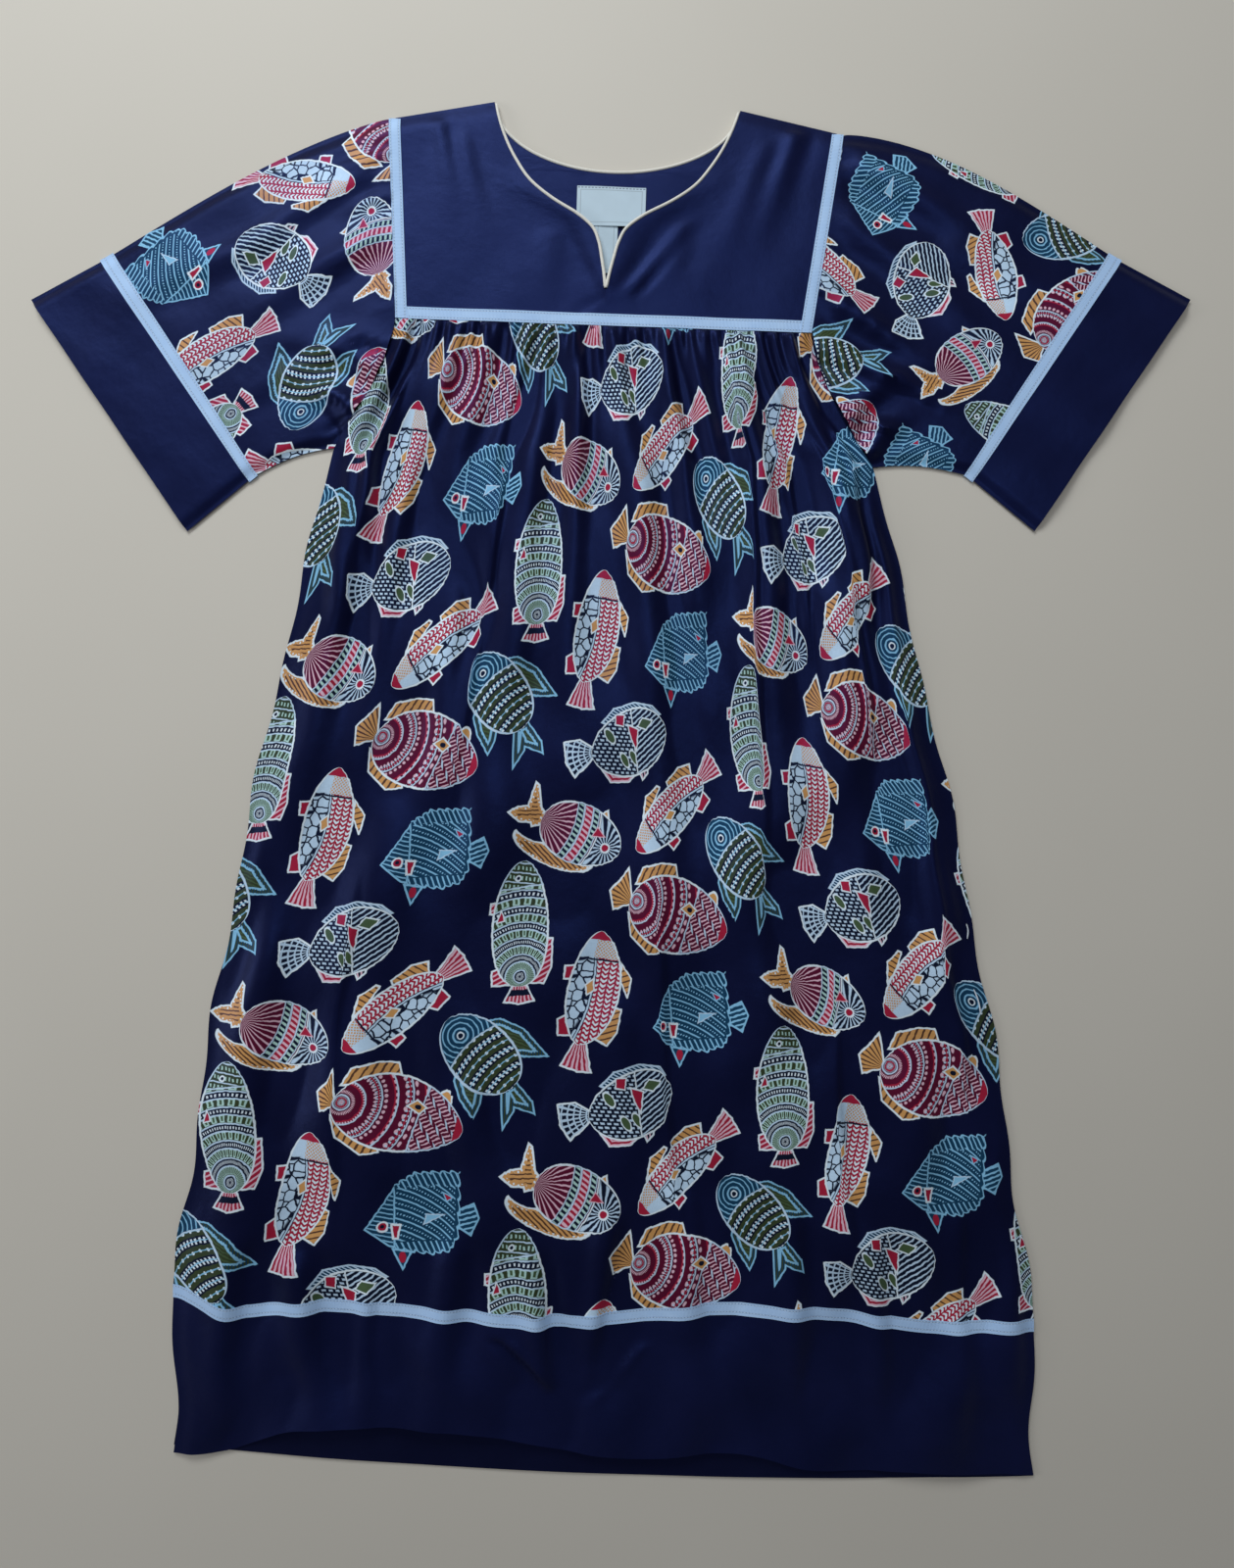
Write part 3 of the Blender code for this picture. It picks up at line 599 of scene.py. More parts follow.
class Graph:
    """One material and the nodes that its formulas make."""

    def __init__(self, name):
        self.material = bpy.data.materials.new(name)
        self.material.use_nodes = True
        self.tree = self.material.node_tree
        self.shader = self.tree.nodes["Principled BSDF"]

    def put(self, value, socket):
        if isinstance(value, Num):
            self.tree.links.new(value.socket, socket)
        else:
            socket.default_value = value

    def math(self, operation, *values, clamp=False):
        node = self.tree.nodes.new("ShaderNodeMath")
        node.operation = operation
        node.use_clamp = clamp
        for value, socket in zip(values, node.inputs):
            self.put(value, socket)
        return Num(self, node.outputs[0])

    def cover(self, distance, sharpness):
        """1 where a distance is positive and 0 where it is negative, with a soft edge between."""
        return self.math("MULTIPLY_ADD", distance, sharpness, 0.5, clamp=True)

    def first_two(self, socket):
        split = self.tree.nodes.new("ShaderNodeSeparateXYZ")
        self.tree.links.new(socket, split.inputs[0])
        return Num(self, split.outputs[0]), Num(self, split.outputs[1])

    def map(self, name):
        node = self.tree.nodes.new("ShaderNodeUVMap")
        node.uv_map = name
        return self.first_two(node.outputs[0])

    def own_place(self):
        """The place on the object, in metres, for pieces without a weave map."""
        return self.tree.nodes.new("ShaderNodeTexCoord").outputs["Object"]

    def vector(self, x, y, z=0.0):
        node = self.tree.nodes.new("ShaderNodeCombineXYZ")
        for value, socket in zip((x, y, z), node.inputs):
            self.put(value, socket)
        return node.outputs[0]

    def noise_at(self, place, scale, detail=2.0):
        node = self.tree.nodes.new("ShaderNodeTexNoise")
        node.inputs["Scale"].default_value = scale
        node.inputs["Detail"].default_value = detail
        self.tree.links.new(place, node.inputs["Vector"])
        return Num(self, node.outputs["Fac"])

    def noise(self, x, y, scale, detail=2.0):
        return self.noise_at(self.vector(x, y), scale, detail)

    def cracks(self, x, y, scale):
        node = self.tree.nodes.new("ShaderNodeTexVoronoi")
        node.feature = "DISTANCE_TO_EDGE"
        node.inputs["Scale"].default_value = scale
        node.inputs["Randomness"].default_value = 0.8
        self.tree.links.new(self.vector(x, y), node.inputs["Vector"])
        return Num(self, node.outputs["Distance"])

    def mix(self, share, first, second):
        node = self.tree.nodes.new("ShaderNodeMix")
        node.data_type = "RGBA"
        self.put(share, node.inputs[0])
        for value, socket in ((first, node.inputs[6]), (second, node.inputs[7])):
            if isinstance(value, Num):
                self.tree.links.new(value.socket, socket)
            else:
                socket.default_value = (*value, 1.0)
        return Num(self, node.outputs[2])

    def scale_colour(self, colour, amount):
        node = self.tree.nodes.new("ShaderNodeVectorMath")
        node.operation = "SCALE"
        self.tree.links.new(colour.socket, node.inputs[0])
        self.put(amount, node.inputs[3])
        return Num(self, node.outputs[0])

    def bump(self, height, strength, distance):
        node = self.tree.nodes.new("ShaderNodeBump")
        node.inputs["Strength"].default_value = strength
        node.inputs["Distance"].default_value = distance
        self.tree.links.new(height.socket, node.inputs["Height"])
        self.tree.links.new(node.outputs[0], self.shader.inputs["Normal"])

    def finish(self, colour, roughness, specular, sheen=0.0):
        for name, value in (
            ("Base Color", colour), ("Roughness", roughness), ("Specular IOR Level", specular),
            ("Sheen Weight", sheen), ("Sheen Roughness", 0.4),
        ):
            self.put(value, self.shader.inputs[name])
        return self.material


def least(a, *rest):
    for b in rest:
        a = a.graph.math("MINIMUM", a, b)
    return a


def length(x, y):
    return ((x * x) + (y * y)) ** 0.5


def stripes(x, period, share):
    """Positive inside evenly spaced stripes, in the units of x."""
    cell = abs(x.graph.math("FRACT", x / period) - 0.5)
    return (share / 2 - cell) * period


def dots(x, y, across, down, radius):
    cx = (x.graph.math("FRACT", x / across) - 0.5) * across
    cy = (y.graph.math("FRACT", y / down) - 0.5) * down
    return radius - length(cx, cy)


def ellipse(u, v, x, y, a, b):
    """Positive inside an ellipse about (x, y), roughly in millimetres."""
    return (1.0 - length((u - x) / a, (v - y) / b)) * (2 * a * b / (a + b))


def polar(u, v, x, y, towards=1.0):
    du = (u - x) * towards
    dv = v - y
    return length(du, dv), u.graph.math("ARCTAN2", dv, du)


# ---------------------------------------------------------------- the print

WHITE = (0.80, 0.92, 1.00)
PALE = (0.56, 0.74, 0.92)
MINT = (0.46, 0.70, 0.64)
PINK = (0.80, 0.52, 0.62)
RED = (0.40, 0.016, 0.040)
MAROON = (0.110, 0.006, 0.022)
OCHRE = (0.66, 0.34, 0.11)
BROWN = (0.10, 0.045, 0.018)
SKY = (0.26, 0.56, 0.80)
TEAL = (0.009, 0.050, 0.100)
OLIVE = (0.042, 0.058, 0.018)
GREEN = (0.070, 0.115, 0.045)
INK = (0.006, 0.009, 0.020)
NAVY = (0.0036, 0.0042, 0.0205)
# The drawn line's width and the softness of every edge, in millimetres
LINE = 1.5
SOFT = 0.45


class Picture:
    """A colour that shapes are painted over, one after another, back to front."""

    def __init__(self, graph, ground):
        self.graph = graph
        self.colour = ground

    def paint(self, distance, colour):
        self.colour = self.graph.mix(self.graph.cover(distance, 1.0 / SOFT), self.colour, colour)

    def shape(self, distance, fill, line=WHITE, width=LINE):
        self.paint(distance, line)
        self.paint(distance - width, fill)

    def inside(self, shape, pattern, colour, margin=LINE):
        self.paint(least(shape - margin, pattern), colour)


def half_plane(u, v, start, end):
    """Distance from a line, positive on the left of the way from start to end."""
    du = end[0] - start[0]
    dv = end[1] - start[1]
    reach = math.hypot(du, dv)
    return u * (-dv / reach) + v * (du / reach) + (start[0] * dv - start[1] * du) / reach


def corners(u, v, *points):
    """Positive inside a convex shape, whose corners are given in order round it."""
    area = sum(a[0] * b[1] - a[1] * b[0] for a, b in zip(points, points[1:] + points[:1]))
    if area < 0:
        points = points[::-1]
    return least(*[half_plane(u, v, a, b) for a, b in zip(points, points[1:] + points[:1])])


def either(a, b):
    return a.graph.math("MAXIMUM", a, b)


def outline(u, v, tail, nose, skew, above, below, power):
    """A body from tail to nose. A skew over 1 moves its fullest part towards the nose."""
    along = u.graph.math("DIVIDE", u - tail, nose - tail, clamp=True) ** skew
    full = ((1.0 - along) * along * 4.0) ** power
    side = least(full * above - v, full * below + v)
    past = either(tail - u, u - nose)
    return side * 0.9 - either(past, 0.0) * 3.0


def ringed_fish(p, u, v):
    """Plump maroon body with rings of dots and dashes round its tail end, and ochre fins."""
    tail = corners(u, v, (-43, -7), (-55, 21), (-68, -2), (-60, -17))
    p.shape(tail, OCHRE)
    _, a = polar(u, v, -42.0, -7.0, -1.0)
    p.inside(tail, stripes(a * 24.0, 4.4, 0.36), BROWN)
    for fin in (
        corners(u, v, (-46, 8), (0, 22), (-7, 35), (-22, 33), (-42, 24)),
        corners(u, v, (-47, -14), (-38, -33), (-17, -43), (-2, -38), (-12, -18)),
    ):
        p.shape(fin, OCHRE)
        p.inside(fin, stripes(u * 0.95 - v * 0.3, 5.6, 0.30), BROWN)
    p.shape(ellipse(u, v, 37.0, 14.0, 6.0, 9.5), OCHRE)
    body = outline(u, v + 6.0, -47.0, 58.0, 0.86, 32.0, 30.0, 0.62)
    p.shape(body, MAROON)
    r, a = polar(u, v, -40.0, -4.0)
    p.inside(body, dots(r + 3.0, a * 34.0, 8.0, 4.4, 1.35), PINK)
    p.inside(body, least(stripes(a * 46.0, 3.6, 0.36), stripes(r + 9.0, 24.0, 0.17)), PALE)
    p.inside(body, stripes(r, 12.0, 0.10), PALE)
    p.inside(body, stripes(r + 2.4, 12.0, 0.10), RED)
    head = least(body, -half_plane(u, v, (16, -40), (24, 40)))
    p.shape(head, MAROON, PALE, 1.2)
    p.inside(head, least(stripes(u * 0.7 - v, 4.0, 0.36), stripes(u + v, 13.0, 0.70)), PINK)
    p.inside(head, least(stripes(u + v * 0.4, 4.4, 0.36), stripes(u + v + 6.5, 13.0, 0.30)), PALE)
    p.shape(corners(u, v, (8, 2), (20, -3), (26, 4), (16, 9)), OCHRE, WHITE, 1.2)
    p.paint(ellipse(u, v, 18.0, 3.0, 2.6, 2.0), INK)
    p.inside(body, u - 51.0, RED, 0.8)


def frilled_fish(p, u, v):
    """Blue body with a frilled edge, curved ribs, dotted lines and red accents."""
    tail = corners(u, v, (-15, 12), (-29, 20), (-36, 6), (-31, -6), (-15, 1))
    p.shape(tail, TEAL, SKY)
    p.inside(tail, stripes(v - u * 0.3, 4.0, 0.36), SKY)
    p.shape(corners(u, v, (18, 32), (26, 47), (35, 28)), TEAL, SKY)
    p.paint(ellipse(u, v, 26.0, 36.0, 2.8, 4.4), RED)
    whole = corners(u, v, (56, 12), (37, 27), (20, 31), (4, 34), (-12, 30), (-18, 20),
                    (-18, -28), (17, -29), (34, -20))
    ripple = abs(p.graph.math("SINE", (u + v * 0.7) * 0.42)) * 1.8
    frilled = whole + ripple * p.graph.math("LESS_THAN", u, 34.0)
    p.shape(frilled, TEAL, SKY, 1.3)
    fins = least(frilled, either(-v - 16.0, v - 23.0))
    p.inside(fins, stripes(u + v * 0.5, 4.6, 0.30), SKY)
    bowed = v + u * 0.55 - (u - 10.0) * (u - 10.0) * 0.006
    core = least(whole - 2.0, v + 20.0, 24.0 - v)
    p.inside(core, stripes(bowed, 8.0, 0.17), SKY, 0.6)
    p.inside(core, least(stripes(bowed + 4.0, 8.0, 0.40), stripes(u - v, 3.4, 0.36)), TEAL, 0.6)
    p.inside(core, dots(bowed + 4.0, u - v, 8.0, 3.4, 0.8), SKY, 0.6)
    p.shape(corners(u, v, (10, 12), (-8, 4), (8, 3)), SKY, PALE, 0.8)
    head = least(whole, -half_plane(u, v, (34, -30), (31, 34)))
    p.shape(head, TEAL, SKY, 1.3)
    p.inside(head, stripes(v + u * 0.3, 3.6, 0.28), SKY)
    p.shape(corners(u, v, (29, 22), (27, 10), (36, 9), (34, 22)), RED, WHITE, 1.6)
    p.shape(ellipse(u, v, 42.0, 11.0, 4.6, 4.6), RED, WHITE, 1.4)
    p.paint(ellipse(u, v, 42.0, 11.0, 1.6, 1.6), INK)
    p.shape(corners(u, v, (-14, -9), (-4, -14), (-8, -5)), RED, SKY, 1.0)


def stone_fish(p, u, v, above, below):
    """Pale pebbles on one side, red and white ribs on the other, ochre fins and a striped tail."""
    tail = corners(u, v, (-30, 3), (-60, 14), (-58, -3), (-60, -16), (-30, -5))
    p.shape(tail, RED)
    _, a = polar(u, v, -24.0, 0.0, -1.0)
    p.inside(tail, stripes(a * 26.0, 3.6, 0.50), PINK)
    for fin in (
        corners(u, v, (40, -8), (18, 2 - below), (2, -below), (6, -8 - below), (22, -9 - below),
                (36, -4 - below * 0.6)),
        corners(u, v, (0, -10), (-28, -6), (-34, -below * 0.9), (-22, -4 - below), (-3, -4 - below)),
    ):
        p.shape(fin, OCHRE)
        p.inside(fin, stripes(u + v * 0.4, 4.8, 0.28), BROWN)
    p.shape(corners(u, v, (-8, 8), (-18, above + 3), (-32, above), (-30, 4)), RED)
    p.shape(corners(u, v, (28, 8), (26, above + 6), (14, above + 5), (16, 6)), RED)
    body = outline(u, v, -36.0, 56.0, 0.95, above, below, 0.60)
    p.shape(body, INK)
    edge = v + 2.0 - (u - 10.0) * (u - 10.0) * 0.004
    stones = p.graph.cracks(u, v, 0.130)
    p.inside(least(body, edge), (stones - 0.075) * 9.0, PALE)
    ribs = least(body, -edge)
    p.inside(ribs, ribs, RED)
    wiggle = u.graph.math("SINE", v * 1.1) * 0.9
    p.inside(ribs, least(stripes(u + wiggle, 3.8, 0.48), stripes(v, 6.4, 0.78)), WHITE)
    p.inside(body, 0.7 - abs(edge), PALE)
    p.shape(corners(u, v, (3, 2), (8, -4), (19, -2), (12, 5)), OCHRE, WHITE, 1.2)
    snout = least(body, u - 33.0)
    p.inside(snout, snout, PALE)
    p.inside(least(snout, 3.0 - v), least(stripes(v + u, 3.0, 0.66), stripes(u - v, 3.0, 0.66)), OCHRE)
    p.inside(body, 0.7 - abs(u - 33.0), INK)
    p.inside(body, u - 49.0, RED, 1.0)


def arched_fish(p, u, v):
    """Long olive body with pale arches of pillars about its tail, red fins and tail."""
    tail = corners(u, v, (-44, 5), (-66, 16), (-63, 0), (-66, -16), (-44, -5))
    p.shape(tail, RED)
    _, a = polar(u, v, -30.0, 0.0, -1.0)
    p.inside(tail, stripes(a * 34.0, 3.6, 0.46), PINK)
    p.inside(tail, 2.5 - abs(u + 53.0), INK)
    for fin in (
        corners(u, v, (-8, -14), (-46, -6), (-47, -20), (-34, -26), (-10, -27)),
        corners(u, v, (-30, 12), (-34, 24), (-47, 23), (-47, 8)),
        corners(u, v, (22, 12), (22, 26), (12, 27), (10, 16)),
    ):
        p.shape(fin, RED)
        p.inside(fin, stripes(u + v * 0.5, 4.2, 0.36), PINK)
    body = outline(u, v, -48.0, 54.0, 0.84, 24.5, 23.0, 0.52)
    p.shape(body, OLIVE)
    r, a = polar(u, v, -40.0, 0.0)
    p.inside(body, stripes(r + 4.2, 13.0, 0.44), INK)
    p.inside(body, least(stripes(a * 40.0, 6.2, 0.62), stripes(r - 2.6, 13.0, 0.46)), MINT)
    p.inside(body, least(stripes(a * 40.0, 6.2, 0.26), stripes(r - 2.6, 13.0, 0.30)), GREEN)
    p.inside(body, least(stripes(a * 60.0, 3.4, 0.42), stripes(r + 4.4, 13.0, 0.16)), WHITE)
    p.inside(body, stripes(r + 1.4, 13.0, 0.09), PALE)
    p.inside(body, stripes(r + 7.4, 13.0, 0.09), PALE)
    p.shape(corners(u, v, (6, 13), (16, 17), (4, 21)), RED, WHITE, 1.0)
    head = least(body, -half_plane(u, v, (34, -30), (30, 30)))
    p.shape(head, OLIVE, PALE, 1.2)
    p.inside(head, stripes(u - v * 0.2, 8.0, 0.14), PALE)
    p.inside(head, least(stripes(v + 1.0, 3.4, 0.40), stripes(u - v * 0.2 + 4.0, 8.0, 0.36)), MINT)
    p.paint(ellipse(u, v, 40.0, 4.0, 2.6, 2.6), WHITE)
    p.paint(ellipse(u, v, 40.0, 4.0, 1.3, 1.3), INK)


def banded_fish(p, u, v):
    """Deep body crossed by green bands of dots and pale zigzags, with long swept fins."""
    upper = corners(u, v, (24, -14), (14, -30), (-6, -38), (-38, -37), (-28, -26), (-10, -10))
    lower = corners(u, v, (14, 12), (2, 29), (-12, 35), (-33, 38), (-28, 26), (-12, 8))
    lobes = either(
        corners(u, v, (-30, 8), (-44, 20), (-57, 30), (-52, 12), (-36, -4)),
        corners(u, v, (-30, 8), (-47, 12), (-66, 2), (-56, -4), (-34, -5)),
    )
    for fin in (upper, lower, lobes):
        p.shape(fin, OLIVE, SKY)
        p.inside(fin, 1.0 - abs(fin - 5.2), SKY)
        p.inside(fin, least(4.6 - fin, stripes(u + v, 3.2, 0.44)), TEAL)
        p.inside(fin, least(fin - 6.4, stripes(u * 0.5 - v, 2.8, 0.36)), GREEN)
    body = outline(u, v, -36.0, 42.0, 0.90, 26.0, 25.0, 0.50)
    p.shape(body, OLIVE, PALE, 1.8)
    bowed = u + v * v * 0.008
    p.inside(body, stripes(bowed, 15.0, 0.46), INK, 1.8)
    teeth = least(stripes(v + abs(bowed) * 0.25, 4.0, 0.46), stripes(bowed, 15.0, 0.28))
    p.inside(body, teeth, WHITE, 1.8)
    p.inside(body, dots(bowed + 7.5, v, 15.0, 7.4, 1.3), WHITE, 1.8)
    p.inside(body, stripes(bowed + 3.6, 7.5, 0.11), SKY, 1.8)
    head = least(body, bowed - 15.0)
    p.shape(head, TEAL, PALE, 1.2)
    r, _ = polar(u, v, 25.0, 1.0)
    p.inside(head, least(stripes(r, 4.0, 0.26), r - 6.0), SKY)
    for radius, colour in ((6.2, SKY), (5.0, TEAL), (3.0, WHITE), (2.0, INK)):
        p.paint(ellipse(u, v, 25.0, 1.0, radius, radius), colour)


def dashed_fish(p, u, v):
    """Dark body filled with short pale dashes, with green leaves and a red gill."""
    tail = corners(u, v, (-27, 5), (-37, 15), (-52, 17), (-54, 0), (-49, -15), (-36, -9), (-27, -3))
    p.shape(tail, INK)
    r, a = polar(u, v, -24.0, 0.0, -1.0)
    p.inside(tail, stripes(r, 5.0, 0.24), PALE)
    p.inside(tail, stripes(a * 20.0, 4.0, 0.36), PALE)
    fin = corners(u, v, (-26, -12), (-20, -28), (-2, -33), (8, -28), (0, -10))
    p.shape(fin, RED)
    p.inside(fin, stripes(fin, 3.2, 0.42), PINK, 1.0)
    chin = corners(u, v, (8, -16), (12, -36), (20, -32), (24, -14))
    p.shape(chin, INK)
    p.inside(chin, stripes(u - v * 0.1, 3.0, 0.40), PINK)
    crest = corners(u, v, (48, 10), (40, 20), (20, 29), (-2, 30), (-16, 22), (10, 0))
    p.shape(crest, TEAL, PALE)
    p.inside(crest, stripes(u + v, 3.4, 0.36), PALE)
    body = outline(u, v + 2.0, -30.0, 50.0, 1.0, 27.0, 28.0, 0.56)
    p.shape(body, INK)
    row = p.graph.math("FLOOR", (v + u * 0.35) / 3.4)
    p.inside(body, least(stripes(u + row * 2.7, 5.2, 0.58), stripes(v + u * 0.35, 3.4, 0.50)), PALE, 2.0)
    for x, y in ((-8.0, 9.0), (-6.0, -14.0), (4.0, -15.0)):
        p.shape(ellipse(u + v * 0.3, v, x, y, 3.8, 7.6), GREEN, WHITE, 1.1)
    face = least(body, -half_plane(u, v, (8, -34), (16, 34)))
    p.shape(face, INK, WHITE, 1.3)
    p.inside(face, stripes(v * 0.9 - u * 0.3, 3.8, 0.34), PALE)
    p.shape(corners(u, v, (9, 0), (13, -12), (20, 6), (8, 14)), RED, WHITE, 1.2)
    p.shape(corners(u, v, (18, 8), (28, 2), (38, 8), (26, 14)), GREEN, WHITE, 1.2)
    p.shape(corners(u, v, (-4, 16), (4, 12), (8, 22), (-2, 25)), RED, WHITE, 1.1)


def ribbed_fish(p, u, v):
    """Small round body with dark red ribs, a checked red band and ochre fins."""
    tail = either(
        corners(u, v, (-28, -4), (-34, 6), (-44, 24), (-50, 26), (-48, 4), (-38, -10)),
        corners(u, v, (-28, 4), (-38, 10), (-56, 2), (-62, -6), (-50, -10), (-34, -6)),
    )
    p.shape(tail, OCHRE, WHITE, 1.6)
    p.inside(tail, least(dots(u + v, v - u, 4.4, 4.4, 1.1), 3.4 - tail), WHITE, 0.4)
    p.inside(tail, least(stripes(v - u * 0.4, 3.6, 0.36), tail - 4.0), BROWN)
    keel = least(ellipse(u, v, -12.0, -19.0, 38.0, 14.0), -ellipse(u, v, -34.0, -3.0, 24.0, 16.0))
    p.shape(keel, OCHRE)
    p.inside(keel, least(stripes(u * 0.4 + v, 3.2, 0.44), keel - 3.0), BROWN)
    p.inside(keel, least(dots(u, v, 4.0, 4.0, 1.0), 3.4 - keel), WHITE, 0.4)
    p.shape(corners(u, v, (24, 4), (25, 17), (19, 28), (12, 20), (12, 8)), OCHRE)
    body = outline(u, v, -32.0, 42.0, 0.88, 25.0, 24.0, 0.50)
    p.shape(body, MAROON)
    _, a = polar(u, v, -32.0, 0.0)
    p.inside(least(body, -u - 3.0), stripes(a * 24.0, 4.2, 0.30), PINK)
    bowed = u + v * v * 0.008
    for middle, half, ground in ((-0.5, 3.4, INK), (7.0, 4.2, RED), (14.0, 3.2, INK)):
        band = least(body, half - abs(bowed - middle))
        p.shape(band, ground, PALE, 0.9)
        p.inside(band, stripes(v + bowed * 0.3, 4.2, 0.46), PINK if ground == RED else MINT, 1.2)
    snout = least(body, bowed - 18.0)
    p.shape(snout, INK, WHITE, 1.1)
    r, b = polar(u, v, 29.0, -2.0)
    p.inside(snout, least(stripes(b * 10.0, 3.3, 0.40), r - 4.0), PALE)
    p.shape(corners(u, v, (14, 2), (26, 6), (16, 12)), RED, PINK, 0.8)
    p.shape(ellipse(u, v, 29.0, -2.0, 4.2, 4.2), RED, WHITE, 1.3)


# Each fish: its drawing, its place in the repeat (millimetres), its heading in degrees, and the middle and
# the half sizes of the cloth that it needs, in its own axes
FISH = (
    ("ringed", ringed_fish, (0, 0), -17, (-5, -4), (64, 40)),
    ("frilled", frilled_fish, (30, -84), 180, (10, 8), (50, 42)),
    ("stone", lambda p, u, v: stone_fish(p, u, v, 18.5, 25.0), (-82, -70), 79, (-2, -4), (62, 31)),
    ("plump_stone", lambda p, u, v: stone_fish(p, u, v, 19.0, 20.0), (6, 82), 217, (-2, -2), (62, 29)),
    ("arched", arched_fish, (-138, -8), 91, (-6, 0), (62, 29)),
    ("banded", banded_fish, (69, 36), 131, (-14, 0), (54, 38)),
    ("dashed", dashed_fish, (182, -10), 14, (-3, -3), (54, 37)),
    ("ribbed", ribbed_fish, (-95, 66), -25, (-9, -2), (54, 35)),
)
REPEAT = (234.0, 146.5)
REPEATS_EACH_WAY = 8
FIRST_FISH = (56.0, -95.0)
PRINT_SLOPE = 0.065
# A face this many half sizes away from every fish is plain, and its print map points at FAR_FROM_FISH
PLAIN_BEYOND = 1.16
FAR_FROM_FISH = 900.0
# Fish further than this from a piece, in millimetres, are passed over
REACH = 150


def nearest_fish(corners):
    """For each face, which fish it belongs to (0 is none) and its corners in that fish's own axes."""
    middle = corners.mean(1)
    best = np.full(len(middle), PLAIN_BEYOND)
    motif = np.zeros(len(middle), np.int32)
    local = np.full(corners.shape, FAR_FROM_FISH)
    low = middle.min(0) - REACH
    high = middle.max(0) + REACH
    for i in range(-REPEATS_EACH_WAY, REPEATS_EACH_WAY + 1):
        for j in range(-REPEATS_EACH_WAY, REPEATS_EACH_WAY + 1):
            shift = ((i - j) * REPEAT[0] + FIRST_FISH[0], (i + j) * REPEAT[1] + FIRST_FISH[1])
            for number, (_, _, place, heading, centre, half) in enumerate(FISH, 1):
                at = np.array([shift[0] + place[0], shift[1] + place[1]], float)
                if (at < low).any() or (at > high).any():
                    continue
                turn = math.radians(heading)
                axes = np.array([[math.cos(turn), -math.sin(turn)], [math.sin(turn), math.cos(turn)]])
                own = (middle - at) @ axes
                far = np.hypot((own[:, 0] - centre[0]) / half[0], (own[:, 1] - centre[1]) / half[1])
                closer = far < best
                best[closer] = far[closer]
                motif[closer] = number
                local[closer] = (corners[closer] - at) @ axes
    return motif, local


# ---------------------------------------------------------------- materials


def times(colour, factor):
    return tuple(c * factor for c in colour)


def cotton(g, colour, x, y, gloss):
    """Plain weave with slubs and crumples as a bump and as slub tone, with broad painted light and shade from
    a slow noise standing in for soft folds. Its shine is bluish.
    """
    fine = g.noise(x * 3.0, y * 0.16, 1.0) + g.noise(x * 0.16, y * 3.0, 1.0)
    crumple = g.noise(x, y, 0.045, 3.0)
    g.bump(fine + crumple * 9.0, 0.6, 0.00012)
    # slow paints broad lighter and darker patches into the colour, as painted light and shade in place of
    # soft folds; it also varies the roughness
    slow = g.noise(x, y, 0.012, 3.0)
    colour_with_painted_shade = g.scale_colour(colour, slow * 0.9 + fine * 0.30 + 0.20)
    g.shader.inputs["Specular Tint"].default_value = (0.13, 0.25, 1.0, 1.0)
    return g.finish(colour_with_painted_shade, slow * 0.16 + 0.33, gloss)


def printed_material(name, draw):
    """Navy ground with one kind of fish on it, drawn with slightly shaky lines, or with none."""
    g = Graph(name)
    u, v = g.map("print")
    x, y = g.map("weave")
    picture = Picture(g, g.mix(g.noise(x, y, 0.02), NAVY, times(NAVY, 1.5)))
    if draw:
        wobble = g.noise(u, v, 0.22, 1.0) * 1.6 - 0.8
        draw(picture, u + wobble, v - wobble)
    return cotton(g, picture.colour, x, y, 0.34)


def plain_material(name, colour):
    g = Graph(name)
    x, y = g.map("weave")
    ground = g.mix(g.noise(x, y, 0.02), colour, times(colour, 1.35))
    return cotton(g, ground, x, y, 0.44)


def tape_material():
    """Woven trim tape: fine cross ribs, a firm edge and a row of stitches near each edge."""
    g = Graph("pale_tape")
    x, y = g.map("weave")
    ribs = g.math("SINE", y * (2 * math.pi / 1.1))
    slow = g.noise(x, y, 0.05)
    base = g.mix(slow, (0.38, 0.58, 0.90), (0.52, 0.72, 1.0))
    from_row = abs(least(x, TAPE_WIDTH / MM - x) - 1.5)
    # groove marks the sunk row along each stitch line; it is a bump and is also painted darker, as painted
    # shade in the groove
    groove = g.cover(0.45 - from_row, 2.0)
    thread = g.cover(least(0.3 - from_row, stripes(y, 2.6, 0.66)), 4.0)
    colour = g.mix(groove, base, (0.28, 0.42, 0.66))
    colour = g.mix(thread, colour, (0.60, 0.78, 1.0))
    g.bump(ribs * 0.5 - groove * 1.4 + thread * 2.2 + slow, 0.7, 0.0002)
    return g.finish(colour, 0.62, 0.3, sheen=0.15)


def piping_material():
    """Bias-cut cream cotton wrapped round a cord: slanting weave and faint pulls."""
    g = Graph("cream_piping")
    x, y = (metres * (1 / MM) for metres in g.first_two(g.own_place()))
    slub = g.noise(x + y, (x - y) * 0.2, 1.2)
    colour = g.mix(slub, (0.62, 0.60, 0.53), (0.90, 0.88, 0.81))
    g.bump(slub, 0.6, 0.0002)
    return g.finish(colour, 0.6, 0.3, sheen=0.1)


